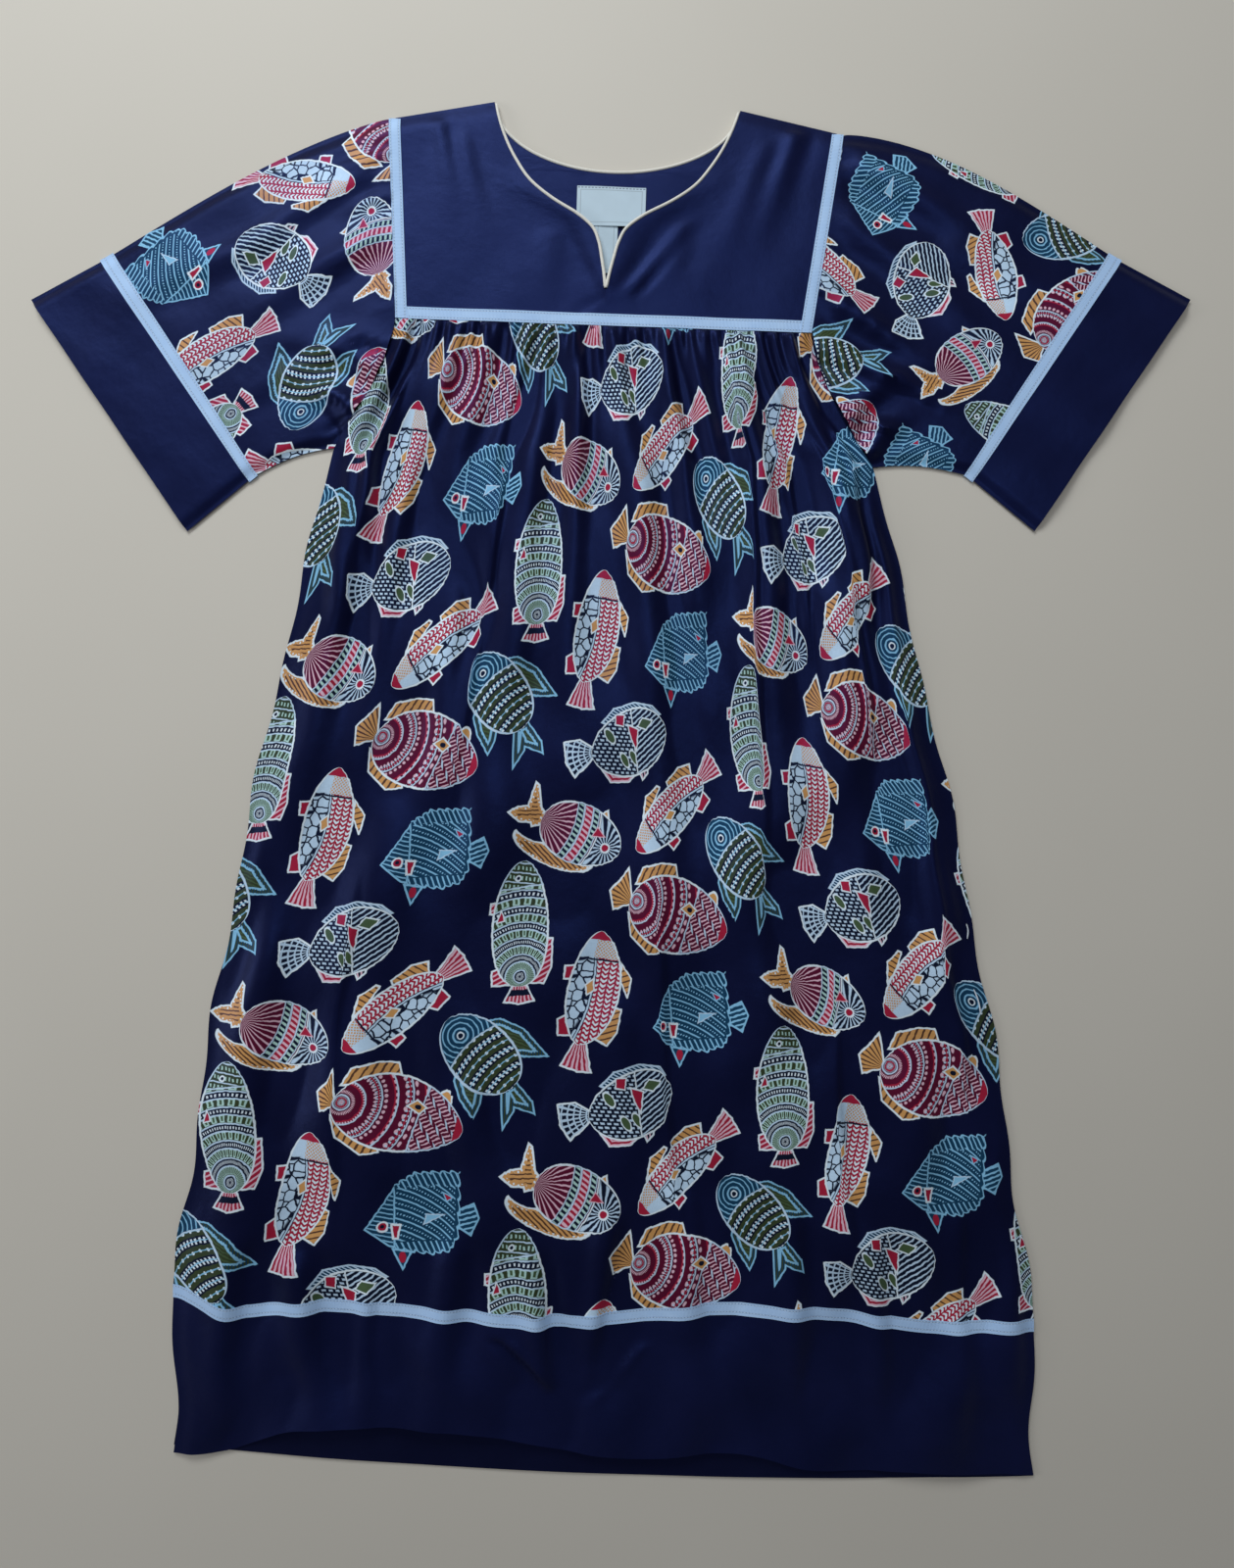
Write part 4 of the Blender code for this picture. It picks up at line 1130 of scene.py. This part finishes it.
def label_material(name, tint, wide, tall):
    """Blank woven label: satin ground, fine ribs, a line woven inside its edges and a row of stitches."""
    g = Graph(name)
    x, y = g.map("weave")
    ribs = g.math("SINE", x * (2 * math.pi / 0.7))
    slow = g.noise(x, y, 0.06)
    base = g.mix(slow, times(tint, 0.86), tint)
    line = g.cover(0.3 - abs(least(x, wide - x, y, tall - y) - 3.0), 3.0)
    thread = g.cover(least(0.3 - abs(tall - y - 1.2), stripes(x, 2.8, 0.6)), 4.0)
    colour = g.mix(line, base, times(tint, 0.62))
    colour = g.mix(thread, colour, (0.02, 0.03, 0.09))
    g.bump(ribs * 0.4 + slow, 0.5, 0.00012)
    return g.finish(colour, 0.45, 0.4, sheen=0.2)


def mottled_material(name, scale, low, high, specular):
    """Two near colours mixed by a noise over the object's own place."""
    g = Graph(name)
    return g.finish(g.mix(g.noise_at(g.own_place(), scale), low, high), 0.6, specular)


# ---------------------------------------------------------------- pieces

LOOKS = {
    "print": [printed_material("cotton_ground", None)]
    + [printed_material(f"cotton_{name}_fish", draw) for name, draw, *_ in FISH]
    + [plain_material("cotton_wrong_side", (0.016, 0.018, 0.060))],
    "navy": [plain_material("navy_cotton", (0.0044, 0.0054, 0.0270))],
    "inside": [plain_material("navy_cotton_inside", (0.0032, 0.0034, 0.0150))],
    "tape": [tape_material()],
    "piping": [piping_material()],
    "thread": [mottled_material("white_thread", 900.0, (0.55, 0.62, 0.70), (0.80, 0.86, 0.92), 0.3)],
}


def settle(made, look, body, replaced=(), blend=None):
    """Gives a piece its material if it has none, hangs it on the body that it rides on or, with a blend,
    bakes it in place with no body, and hides the CAD parts that it stands for.
    """
    if not made.data.materials:
        for material in LOOKS[look]:
            made.data.materials.append(material)
    if blend:
        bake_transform(made)
    else:
        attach(made, body)
    if replaced:
        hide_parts(*replaced)
    return made


def printed_piece(name, points, fabric, **settings):
    """A piece with one material slot per fish, and the plain wrong side on its inner faces."""
    made, motif, outer = cloth(name, points, fabric=fabric, **settings)
    for material in LOOKS["print"]:
        made.data.materials.append(material)
    slots = np.full(len(made.data.polygons), len(LOOKS["print"]) - 1, np.int32)
    slots[:outer] = motif
    made.data.polygons.foreach_set("material_index", slots)
    return made


def plain_piece(name, points, **settings):
    return cloth(name, points, **settings)[0]


def skirt_fabric(x, y):
    """Millimetres of cloth under each point. The gathers hide some, more on the right and at the top."""
    px, py = lay(x, y)
    left = curve(py, (-0.26, 0.05, 0.337), (1.01, 0.888, 0.64))
    right = curve(py, (-0.25, 0.03, 0.337), (0.885, 0.71, 0.64))
    middle = 0.008
    share = np.where(px < middle, left, right)
    sloped = py - PRINT_SLOPE * (px - 0.06)
    return np.stack([(px - middle) / share / MM, sloped / MM], -1)


def make_skirt():
    u, y = grid(np.linspace(-1, 1, 236), np.linspace(HEM_TAPE_Y, YOKE_BASE_Y, 190))
    x = u * skirt_half(y)
    hidden = SKIRT_LAPS.tucked(u * YOKE_BASE_WIDTH / 2, YOKE_BASE_Y - y)
    fabric = skirt_fabric(x, y) + np.stack([hidden / MM, 0 * hidden], -1)
    made = printed_piece("front_skirt_cloth", front_place(x, y), fabric)
    settle(made, "print", BODY, ["front_skirt"])
    u, y = grid(np.linspace(-1, 1, 90), np.linspace(HEM_TAPE_Y, YOKE_BASE_Y, 110))
    x = u * skirt_half(y)
    fabric = skirt_fabric(-x, y) + [117.0, 60.0]
    made = printed_piece("back_skirt_cloth", back_place(x, y), fabric, flip=True)
    settle(made, "print", BODY, ["back_skirt"])


def make_hem():
    u, y = grid(np.linspace(-1, 1, 176), np.linspace(HEM_Y, HEM_BAND_Y, 34))
    made = plain_piece("front_hem_band_cloth", front_place(u * HEM_WIDTH / 2, y, lift=-0.0002))
    settle(made, "navy", BODY, ["front_hem_band"])
    u, y = grid(np.linspace(-1, 1, 120), np.linspace(HEM_Y, HEM_BAND_Y, 20))
    made = plain_piece("back_hem_band_cloth", back_place(u * HEM_WIDTH / 2, y), flip=True)
    settle(made, "inside", BODY, ["back_hem_band"])
    y, u = grid(np.linspace(HEM_TAPE_Y + 0.0005, HEM_BAND_Y - 0.0005, 5), np.linspace(-1, 1, 200))
    x = u * HEM_WIDTH / 2
    over = front_place(x, y, lift=0.0006)
    under = back_place(x[::-1], y, lift=-0.0005)
    made = plain_piece("hem_tape_cloth", np.concatenate([over, under]))
    settle(made, "tape", BODY, ["hem_tape"])


def neck_grid(depths, neck_half, outer_half, lowest, columns):
    """Rows of pattern points from below the neck opening to the shoulders, each a left and a right run.

    The quads that are kept are all but the middle strip above the bottom of the opening.
    """
    kept = np.ones((len(depths) - 1, 2 * columns + 1), bool)
    kept[depths[:-1] <= lowest + 1e-6, columns] = False
    depths = depths[:, None]
    left = mix(-outer_half(depths), -neck_half(depths), np.linspace(0, 1, columns + 1))
    x = np.concatenate([left, -left[:, ::-1]], 1)
    y = -depths + shoulder_y(x) * (1.0 - depths / (YOKE_LENGTH - TAPE_WIDTH))
    return x, y, kept


def yoke_outer(depth):
    return yoke_half(-depth) - TAPE_WIDTH * 0.55


def make_yoke():
    quarter = np.sin(np.linspace(np.pi / 2, 0, 34))
    slit = np.linspace(SLIT_DEPTH, FRONT_NECK_DEPTH, 17)[:-1]
    front_neck = np.concatenate([slit, FRONT_NECK_DEPTH * quarter])
    foot = YOKE_LENGTH - TAPE_WIDTH / 2
    depths = np.concatenate([np.linspace(foot, SLIT_DEPTH, 8)[:-1], front_neck])
    x, y, kept = neck_grid(depths, front_neck_half, yoke_outer, SLIT_DEPTH, 40)
    made = plain_piece("front_yoke_cloth", front_place(x, y), kept=kept)
    settle(made, "navy", BODY, ["front_yoke"])
    back_neck = BACK_NECK_DEPTH * quarter
    depths = np.concatenate([np.linspace(foot, BACK_NECK_DEPTH, 26)[:-1], back_neck])
    x, y, kept = neck_grid(depths, back_neck_half, yoke_outer, BACK_NECK_DEPTH, 30)
    made = plain_piece("back_yoke_cloth", back_place(x, y, lift=-0.0001), flip=True, kept=kept)
    settle(made, "inside", BODY, ["back_yoke"])
    make_facings(front_neck, back_neck)


def back_facing_outer(depth):
    """The back facing's outer edge, which keeps its width below the opening as well as beside it."""
    reach = back_neck_half(np.clip(depth - FACING_WIDTH, 0.0, BACK_NECK_DEPTH)) + FACING_WIDTH
    return np.minimum(reach, yoke_half(-depth) - TAPE_WIDTH)


def front_facing_outer(depth):
    reach = front_neck_half(np.minimum(depth, SLIT_DEPTH)) + FACING_WIDTH
    return np.minimum(reach, yoke_half(-depth) - TAPE_WIDTH)


def make_facings(front_neck, back_neck):
    depths = np.concatenate([[SLIT_DEPTH + 0.022, SLIT_DEPTH + 0.010], front_neck[front_neck > 0.010]])
    x, y, kept = neck_grid(depths, front_neck_half, front_facing_outer, SLIT_DEPTH, 10)
    made = plain_piece("front_facing_cloth", front_place(x, y, lift=-0.0008), kept=kept, thickness=THIN_CLOTH)
    settle(made, "inside", BODY, ["front_neck_facing"])
    below = np.linspace(BACK_NECK_DEPTH + FACING_WIDTH, BACK_NECK_DEPTH, 9)[:-1]
    depths = np.concatenate([below, back_neck[back_neck > 0.004]])
    x, y, kept = neck_grid(depths, back_neck_half, back_facing_outer, BACK_NECK_DEPTH, 12)
    made = plain_piece("back_facing_cloth", back_place(x, y, lift=0.0009), kept=kept, thickness=THIN_CLOTH)
    settle(made, "navy", BODY, ["back_neck_facing"])


def make_piping():
    """Cords just inside both neck edges. The front one's two runs nearly meet at the foot of the slit."""
    inset, back_inset, least_half = 0.0011, 0.0012, 0.0007
    depth = np.concatenate([
        np.linspace(SLIT_DEPTH - 0.0012, FRONT_NECK_DEPTH, 30)[:-1],
        FRONT_NECK_DEPTH * np.sin(np.linspace(np.pi / 2, 0.02, 60)),
    ])
    half = np.maximum(front_neck_half(depth) - inset, least_half)
    x = np.concatenate([-half[::-1], half])
    y = -np.concatenate([depth[::-1], depth])
    made = tube("front_piping_cord", soften(front_place(x, y, lift=-0.0001)), PIPING_RADIUS, taper=0.2)
    settle(made, "piping", BODY, ["front_neck_piping"])
    turn = np.linspace(0.10, np.pi - 0.10, 90)
    x = -(NECK_WIDTH / 2 - back_inset) * np.cos(turn)
    y = -(BACK_NECK_DEPTH - back_inset) * np.sin(turn)
    made = tube("back_piping_cord", back_place(x, y, lift=0.0006), PIPING_RADIUS, taper=0.2)
    settle(made, "piping", BODY, ["back_neck_piping"])


def soften(path):
    """Draws each point of a path halfway towards its neighbours, apart from both ends."""
    path = np.array(path)
    path[1:-1] = (path[:-2] + 2 * path[1:-1] + path[2:]) / 4
    return path


def make_yoke_tapes():
    """Side tapes over the shoulders, and the tapes along the base of each yoke."""
    t = np.linspace(0, 1, 60)
    w = np.linspace(0, TAPE_WIDTH, 5)
    for side, word in SIDES:
        y = mix(YOKE_BASE_Y, -SHOULDER_DROP, t)[:, None] + 0 * w
        x = side * (mix(YOKE_BASE_WIDTH, SHOULDER_WIDTH, t)[:, None] / 2 - w)
        if side > 0:
            x = x[:, ::-1]
        over = front_place(x, y, lift=0.0008)
        over[..., 2] += 0.0002 * np.sin(np.pi * np.linspace(0, 1, 5))
        under = back_place(x[::-1], y[::-1], lift=-0.0006)
        lip = 0.5 * (over[-1] + under[0])
        lip[:, 1] += 0.0011
        points = np.concatenate([over, lip[None], under])
        made = plain_piece(f"{word}_yoke_tape_cloth", points, thickness=TAPE_CLOTH)
        settle(made, "tape", BODY, [f"{word}_yoke_tape"])
    w, t = grid(w, np.linspace(-1, 1, 110))
    x = t * (YOKE_BASE_WIDTH / 2 - 0.001)
    for name, place, lift, flip in (
        ("front_yoke_tape", front_place, 0.0006, True),
        ("back_yoke_tape", back_place, -0.0005, False),
    ):
        points = place(x, YOKE_BASE_Y + w, lift)
        made = plain_piece(f"{name}_cloth", points, flip=flip, thickness=TAPE_CLOTH)
        settle(made, "tape", BODY, [name])


def make_labels():
    """Blank labels, each a little skewed, and the neck label curled a little."""
    tilt = math.atan(LAY_TILT)
    u, v = grid(np.linspace(-0.5, 0.5, 24), np.linspace(-0.5, 0.5, 30))
    for node, wide, tall, curl in (("neck_label", 0.056, 0.032, 0.0006), ("care_label", 0.019, 0.070, 0.0)):
        low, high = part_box(node)
        middle = (low + high) / 2
        x = middle.x + u * wide * math.cos(tilt) + v * tall * 0.03
        y = middle.y + v * tall - u * wide * math.sin(tilt)
        z = high.z + 0.0004 + curl * (np.cos(u * 6.0 + v * 2.0) * 0.5 + (0.5 - v) ** 2 * (0.5 + u))
        made = plain_piece(f"{node}_cloth", np.stack([x, y, z], -1), thickness=THIN_CLOTH)
        made.data.materials.append(label_material(node, (0.52, 0.66, 0.76), wide / MM, tall / MM))
        settle(made, "label", BODY, [node])


def make_pockets():
    """Pocket bags in the outline of the CAD ones, with both layers in one."""
    u, v = grid(np.linspace(0, 1, 26), np.linspace(0, 1, 40))
    for _, word in SIDES:
        node = frame["nodes"][f"{word}_pocket_bag"]
        verts = np.array([vert.co for vert in node.data.vertices])
        low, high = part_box(f"{word}_pocket_bag")
        levels = np.linspace(low.y + 0.004, high.y - 0.004, 40)
        ends = np.array([pocket_span(verts, level) for level in levels])
        x = mix(ends[:, :1], ends[:, 1:], u)
        y = levels[:, None] + 0 * u
        z = POCKET_Z + 0.0001 * np.sin(u * 9.0) * np.sin(v * 7.0)
        made = plain_piece(f"{word}_pocket_cloth", np.stack([x, y, z], -1), thickness=0.0006)
        settle(made, "inside", BODY, [f"{word}_pocket_bag"])


def pocket_span(verts, level):
    """Where the CAD bag's outline crosses a level, from its vertices just above and below."""
    near = verts[np.abs(verts[:, 1] - level) < 0.021]
    return near[:, 0].min() + 0.002, near[:, 0].max() - 0.002


# ---------------------------------------------------------------- sleeves


def cuff_seam(side):
    """Both ends of the laid cuff seam, the top one first, and the direction from one to the other."""
    drop = math.radians(SLEEVE_DROP_DEG)
    slant = math.radians(CUFF_SLANT_DEG)
    x = SHOULDER_WIDTH / 2 + SLEEVE_LENGTH * math.cos(drop)
    y = -SHOULDER_DROP - SLEEVE_LENGTH * math.sin(drop) + PATTERN_Y
    top = np.array([side * x, y])
    base = np.array([side * (x - CUFF_WIDTH * math.sin(slant)), y - CUFF_WIDTH * math.cos(slant)])
    return top, base, (base - top) / np.linalg.norm(base - top)


def armhole(side, t):
    """The laid armhole seam, from the shoulder (0) down the yoke's side to the underarm (1)."""
    straight = YOKE_LENGTH - SHOULDER_DROP
    share = straight / (straight + ARMHOLE_DROP)
    on_yoke = t < share
    y = np.where(on_yoke, mix(-SHOULDER_DROP, YOKE_BASE_Y, t / share),
                 mix(YOKE_BASE_Y, UNDERARM_Y, (t - share) / (1 - share)))
    x = np.where(on_yoke, mix(SHOULDER_WIDTH / 2, YOKE_BASE_WIDTH / 2, t / share), skirt_half(y))
    px, py = lay(side * x, y)
    return np.stack([px, py], -1)


def sleeve_line(side, s, t):
    """A point of the laid sleeve: s runs from the armhole (0) to the cuff seam (1) and on over the band."""
    cuff_top, cuff_base, run = cuff_seam(side)
    out = np.array([side * abs(run[1]), -abs(run[0])])
    cuff = cuff_top + t[..., None] * (cuff_base - cuff_top)
    body = mix(armhole(side, t), cuff, np.clip(s, 0, 1)[..., None])
    rise = (0.018 if side > 0 else 0.011) * np.sin(np.pi * np.clip(s, 0, 1) ** 0.8) * (1 - t) ** 2
    dip = 0.004 * np.sin(np.pi * np.clip(s, 0, 1)) * t**2
    body[..., 1] += rise + dip
    beyond = np.maximum(s - 1.0, 0.0) * SLEEVE_LENGTH
    flare = (t - 0.5) * 2 * CUFF_FLARE * beyond / SLEEVE_BAND_DEPTH
    return body + beyond[..., None] * out + flare[..., None] * run


def sleeve_folds(side):
    folds = Folds()
    rng = np.random.default_rng(21 if side < 0 else 33)
    folds.gathers(rng, 0.012, 0.230, 0.0,
                  (0.010, 0.017), (0.035, 0.10), (0.0026, 0.0042), (0.0010, 0.0026))
    # down the sleeve's breadth from its top edge, then along it from the armhole, in metres
    lines = {
        -1: ((0.030, 0.060, 0.0, 0.20, 0.008, 0.0036), (0.080, 0.110, 0.0, 0.22, 0.009, 0.0040),
             (0.190, 0.120, -0.02, 0.17, 0.008, 0.0046), (0.225, 0.165, -0.03, 0.15, 0.007, 0.0050),
             (0.150, 0.170, 0.03, 0.24, 0.008, 0.0030), (0.055, 0.040, 0.10, 0.30, 0.010, 0.0030)),
        1: ((0.020, 0.050, 0.0, 0.18, 0.008, 0.0050), (0.060, 0.120, 0.0, 0.22, 0.009, 0.0042),
            (0.120, 0.160, 0.0, 0.22, 0.008, 0.0046), (0.215, 0.130, -0.02, 0.18, 0.007, 0.0050),
            (0.240, 0.180, -0.03, 0.16, 0.006, 0.0048), (0.060, 0.050, 0.10, 0.30, 0.010, 0.0028)),
    }
    for line in lines[side]:
        folds.add(*line, flare=1.4)
    return folds


SLEEVE_FOLDS = {side: sleeve_folds(side) for side, _ in SIDES}
# down the sleeve's breadth from its top edge, then along it from the armhole, in metres
SLEEVE_LAPS = {
    -1: Laps(((0.212, 0.176, -0.030, 0.150, 0.014, 0.0040, 0.0),
              (0.176, 0.130, -0.030, 0.120, 0.012, 0.0032, 0.0))),
    1: Laps(((0.150, 0.188, -0.030, 0.200, 0.016, 0.0064, 0.0),
             (0.196, 0.214, -0.020, 0.120, 0.010, 0.0048, 0.0),
             (0.110, 0.140, -0.030, 0.120, 0.013, 0.0040, 0.0))),
}


def sleeve_points(side, s_values, columns, lift=0.0):
    """Grid round the flattened sleeve: over the front from its top edge, then back underneath."""
    t_front = (1 - np.cos(np.linspace(0, np.pi, columns))) / 2
    t = np.concatenate([t_front, t_front[-2:0:-1]])
    over = np.concatenate([np.ones(columns, bool), np.zeros(columns - 2, bool)])
    t_grid, s_grid = np.meshgrid(t, s_values)
    flat = sleeve_line(side, s_grid, t_grid)
    from_edge = np.minimum(t_grid, 1 - t_grid) * SLEEVE_BREADTH
    roll = smooth(from_edge / SHORT_ROLL)
    rng = np.random.default_rng(40 + side)
    place = t_grid * SLEEVE_BREADTH, s_grid * SLEEVE_LENGTH
    folded = SLEEVE_FOLDS[side].height(*place) + SLEEVE_LAPS[side].height(*place)
    folded = folded * smooth((1.32 - s_grid) / 0.3)
    folded = folded + waves(rng, flat[..., 0], flat[..., 1], 6, (0.05, 0.14), (0.05, 0.14), 0.0005)
    top = EDGE_Z - 0.0007 + roll * (FRONT_LOFT - EDGE_Z + 0.0012 + folded) + lift
    base = BACK_Z * 0.9 + (1 - roll) * 0.0006 - lift
    z = np.where(over, np.maximum(top, 0.0019), base)
    widen = np.where(t_grid < 0.5, -1, 1) * (1 - smooth(from_edge / 0.004)) * lift * 2
    flat = flat + widen[..., None] * cuff_seam(side)[2]
    return np.concatenate([flat, z[..., None]], -1), s_grid, t_grid, over


# The turn of each sleeve's print in degrees, the place of one fish from the shoulder's tip in metres, and the
# share of the cloth that shows along and across
SLEEVE_PRINT = {
    -1: (130.0, (-0.184, -0.118), (0.78, 1.00)),
    1: (63.0, (0.033, -0.041), (0.78, 0.86)),
}


def sleeve_fabric(side, s, t, over):
    """The sleeves are cut across the print, each at its own turn, and their gathers take up some of it.

    The underside is laid out as the mirror image beyond the top edge, so the print runs on over that edge.
    """
    turn, place, taken = SLEEVE_PRINT[side]
    flat = sleeve_line(side, s, t)
    opened = np.where(over[..., None], flat, 2 * sleeve_line(side, s, 0 * t) - flat)
    tip = lay(side * SHOULDER_WIDTH / 2, -SHOULDER_DROP)
    away = (opened - tip - place) / MM
    turn = math.radians(turn)
    along = away @ np.array([math.cos(turn), math.sin(turn)]) / taken[0]
    across = away @ np.array([-math.sin(turn), math.cos(turn)]) / taken[1]
    frilled = np.array(FIRST_FISH) + FISH[1][2]
    return np.stack([along, across], -1) + frilled


def make_sleeves():
    for side, word in SIDES:
        joint = next(j for j in frame["joints"] if j["name"] == f"{word}_sleeve_fold")
        crease = np.array(joint["pos_m"], float)
        axis = np.array(joint["axis"], float)
        out = outward_of(axis, side)
        points, s, t, over = sleeve_points(side, np.linspace(0.0, 1.0, 84), 70)
        fabric = sleeve_fabric(side, s, t, over)
        made = printed_piece(f"{word}_sleeve_cloth", points, fabric, around=True, flip=side < 0)
        blend = (BODY, ARM[word], tuple(crease), tuple(crease + out * FOLD_BLEND))
        settle(made, "print", None, [f"{word}_sleeve_cap", f"{word}_sleeve"],
               blend)
        start = 1.0 - TAPE_WIDTH / 2 / SLEEVE_LENGTH
        end = 1.0 + TAPE_WIDTH / 2 / SLEEVE_LENGTH + 0.01
        points = sleeve_points(side, np.linspace(start, end, 5), 60, 0.0006)[0]
        made = plain_piece(f"{word}_sleeve_tape_cloth", points, around=True, flip=side < 0)
        tape_along(made)
        settle(made, "tape", ARM[word], [f"{word}_sleeve_tape"])
        stop = 1.0 + (TAPE_WIDTH + SLEEVE_BAND_DEPTH) / SLEEVE_LENGTH
        points = sleeve_points(side, np.linspace(1.0, stop, 22), 70, -0.0001)[0]
        made = plain_piece(f"{word}_sleeve_band_cloth", points, around=True, flip=side < 0)
        settle(made, "navy", ARM[word], [f"{word}_sleeve_band"])


def outward_of(axis, side):
    """The level direction across a crease and away from the body."""
    out = np.array([-axis[1], axis[0], 0.0])
    return out * side * np.sign(out[0]) / np.linalg.norm(out)


def tape_along(made):
    """A ring of tape has its length round the ring, so its weave map is turned."""
    layer = made.data.uv_layers["weave"]
    values = np.zeros(len(layer.data) * 2, np.float32)
    layer.data.foreach_get("uv", values)
    values = values.reshape(-1, 2)[:, ::-1]
    layer.data.foreach_set("uv", np.ascontiguousarray(values).reshape(-1))


# ---------------------------------------------------------------- threads


def make_threads():
    """White bar tacks beside the pocket mouth."""
    for name, top, base, inset in (
        ("upper_bar_tack", -0.655, -0.667, 0.0055),
        ("lower_bar_tack", -0.708, -0.728, 0.0085),
    ):
        y = np.linspace(top, base, 14)
        x = skirt_half(y) - inset + 0.0008 * np.sin(np.linspace(0, 4, 14))
        made = tube(name, front_place(x, y, lift=0.0007), 0.0006, sides=7, taper=0.5)
        settle(made, "thread", BODY)


# ---------------------------------------------------------------- stage


def make_stage():
    mesh = bpy.data.meshes.new("floor")
    mesh.from_pydata([(-4, -4, 0), (4, -4, 0), (4, 4, 0), (-4, 4, 0)], [], [(0, 1, 2, 3)])
    mesh.materials.append(mottled_material("pale_floor", 3.0, (0.60, 0.56, 0.49), (0.65, 0.61, 0.54), 0.25))
    floor = add_object("floor", mesh)
    floor.location.z = -0.0004


def area_light(name, place, target, size, power, colour):
    data = bpy.data.lights.new(name, "AREA")
    data.shape = "RECTANGLE"
    data.size, data.size_y = size
    data.energy = power
    data.color = colour
    light = add_object(name, data)
    light.location = place
    light.rotation_euler = (Vector(target) - Vector(place)).to_track_quat("-Z", "Y").to_euler()


def make_light():
    area_light("window", (-0.55, 1.60, 1.30), (0.0, 0.0, 0.0), (1.2, 0.8), 24.0, (0.92, 0.97, 1.0))
    area_light("ceiling", (0.10, 0.65, 2.10), (0.0, -0.1, 0.0), (0.5, 0.5), 8.0, (0.95, 0.97, 1.0))
    area_light("room", (-1.9, -0.1, 0.80), (0.0, -0.2, 0.0), (0.9, 0.7), 9.0, (0.95, 0.97, 1.0))
    world = bpy.data.worlds.new("studio")
    world.use_nodes = True
    background = world.node_tree.nodes["Background"]
    background.inputs["Color"].default_value = (0.88, 0.93, 1.0, 1.0)
    background.inputs["Strength"].default_value = 0.13
    bpy.context.scene.world = world
    bpy.context.scene.view_settings.view_transform = "Standard"


def make_camera():
    """Straight above the dress, with the view of a phone held about a metre up."""
    half_view = 0.640
    data = bpy.data.cameras.new("camera")
    data.sensor_fit = "VERTICAL"
    data.sensor_height = 36.0
    data.lens = 26.0
    camera = add_object("camera", data)
    camera.location = (0.005, 0.005, half_view * data.lens / (data.sensor_height / 2))
    bpy.context.scene.camera = camera


make_stage()
make_light()
make_camera()
make_skirt()
make_hem()
make_yoke()
make_piping()
make_yoke_tapes()
make_labels()
make_pockets()
make_sleeves()
make_threads()
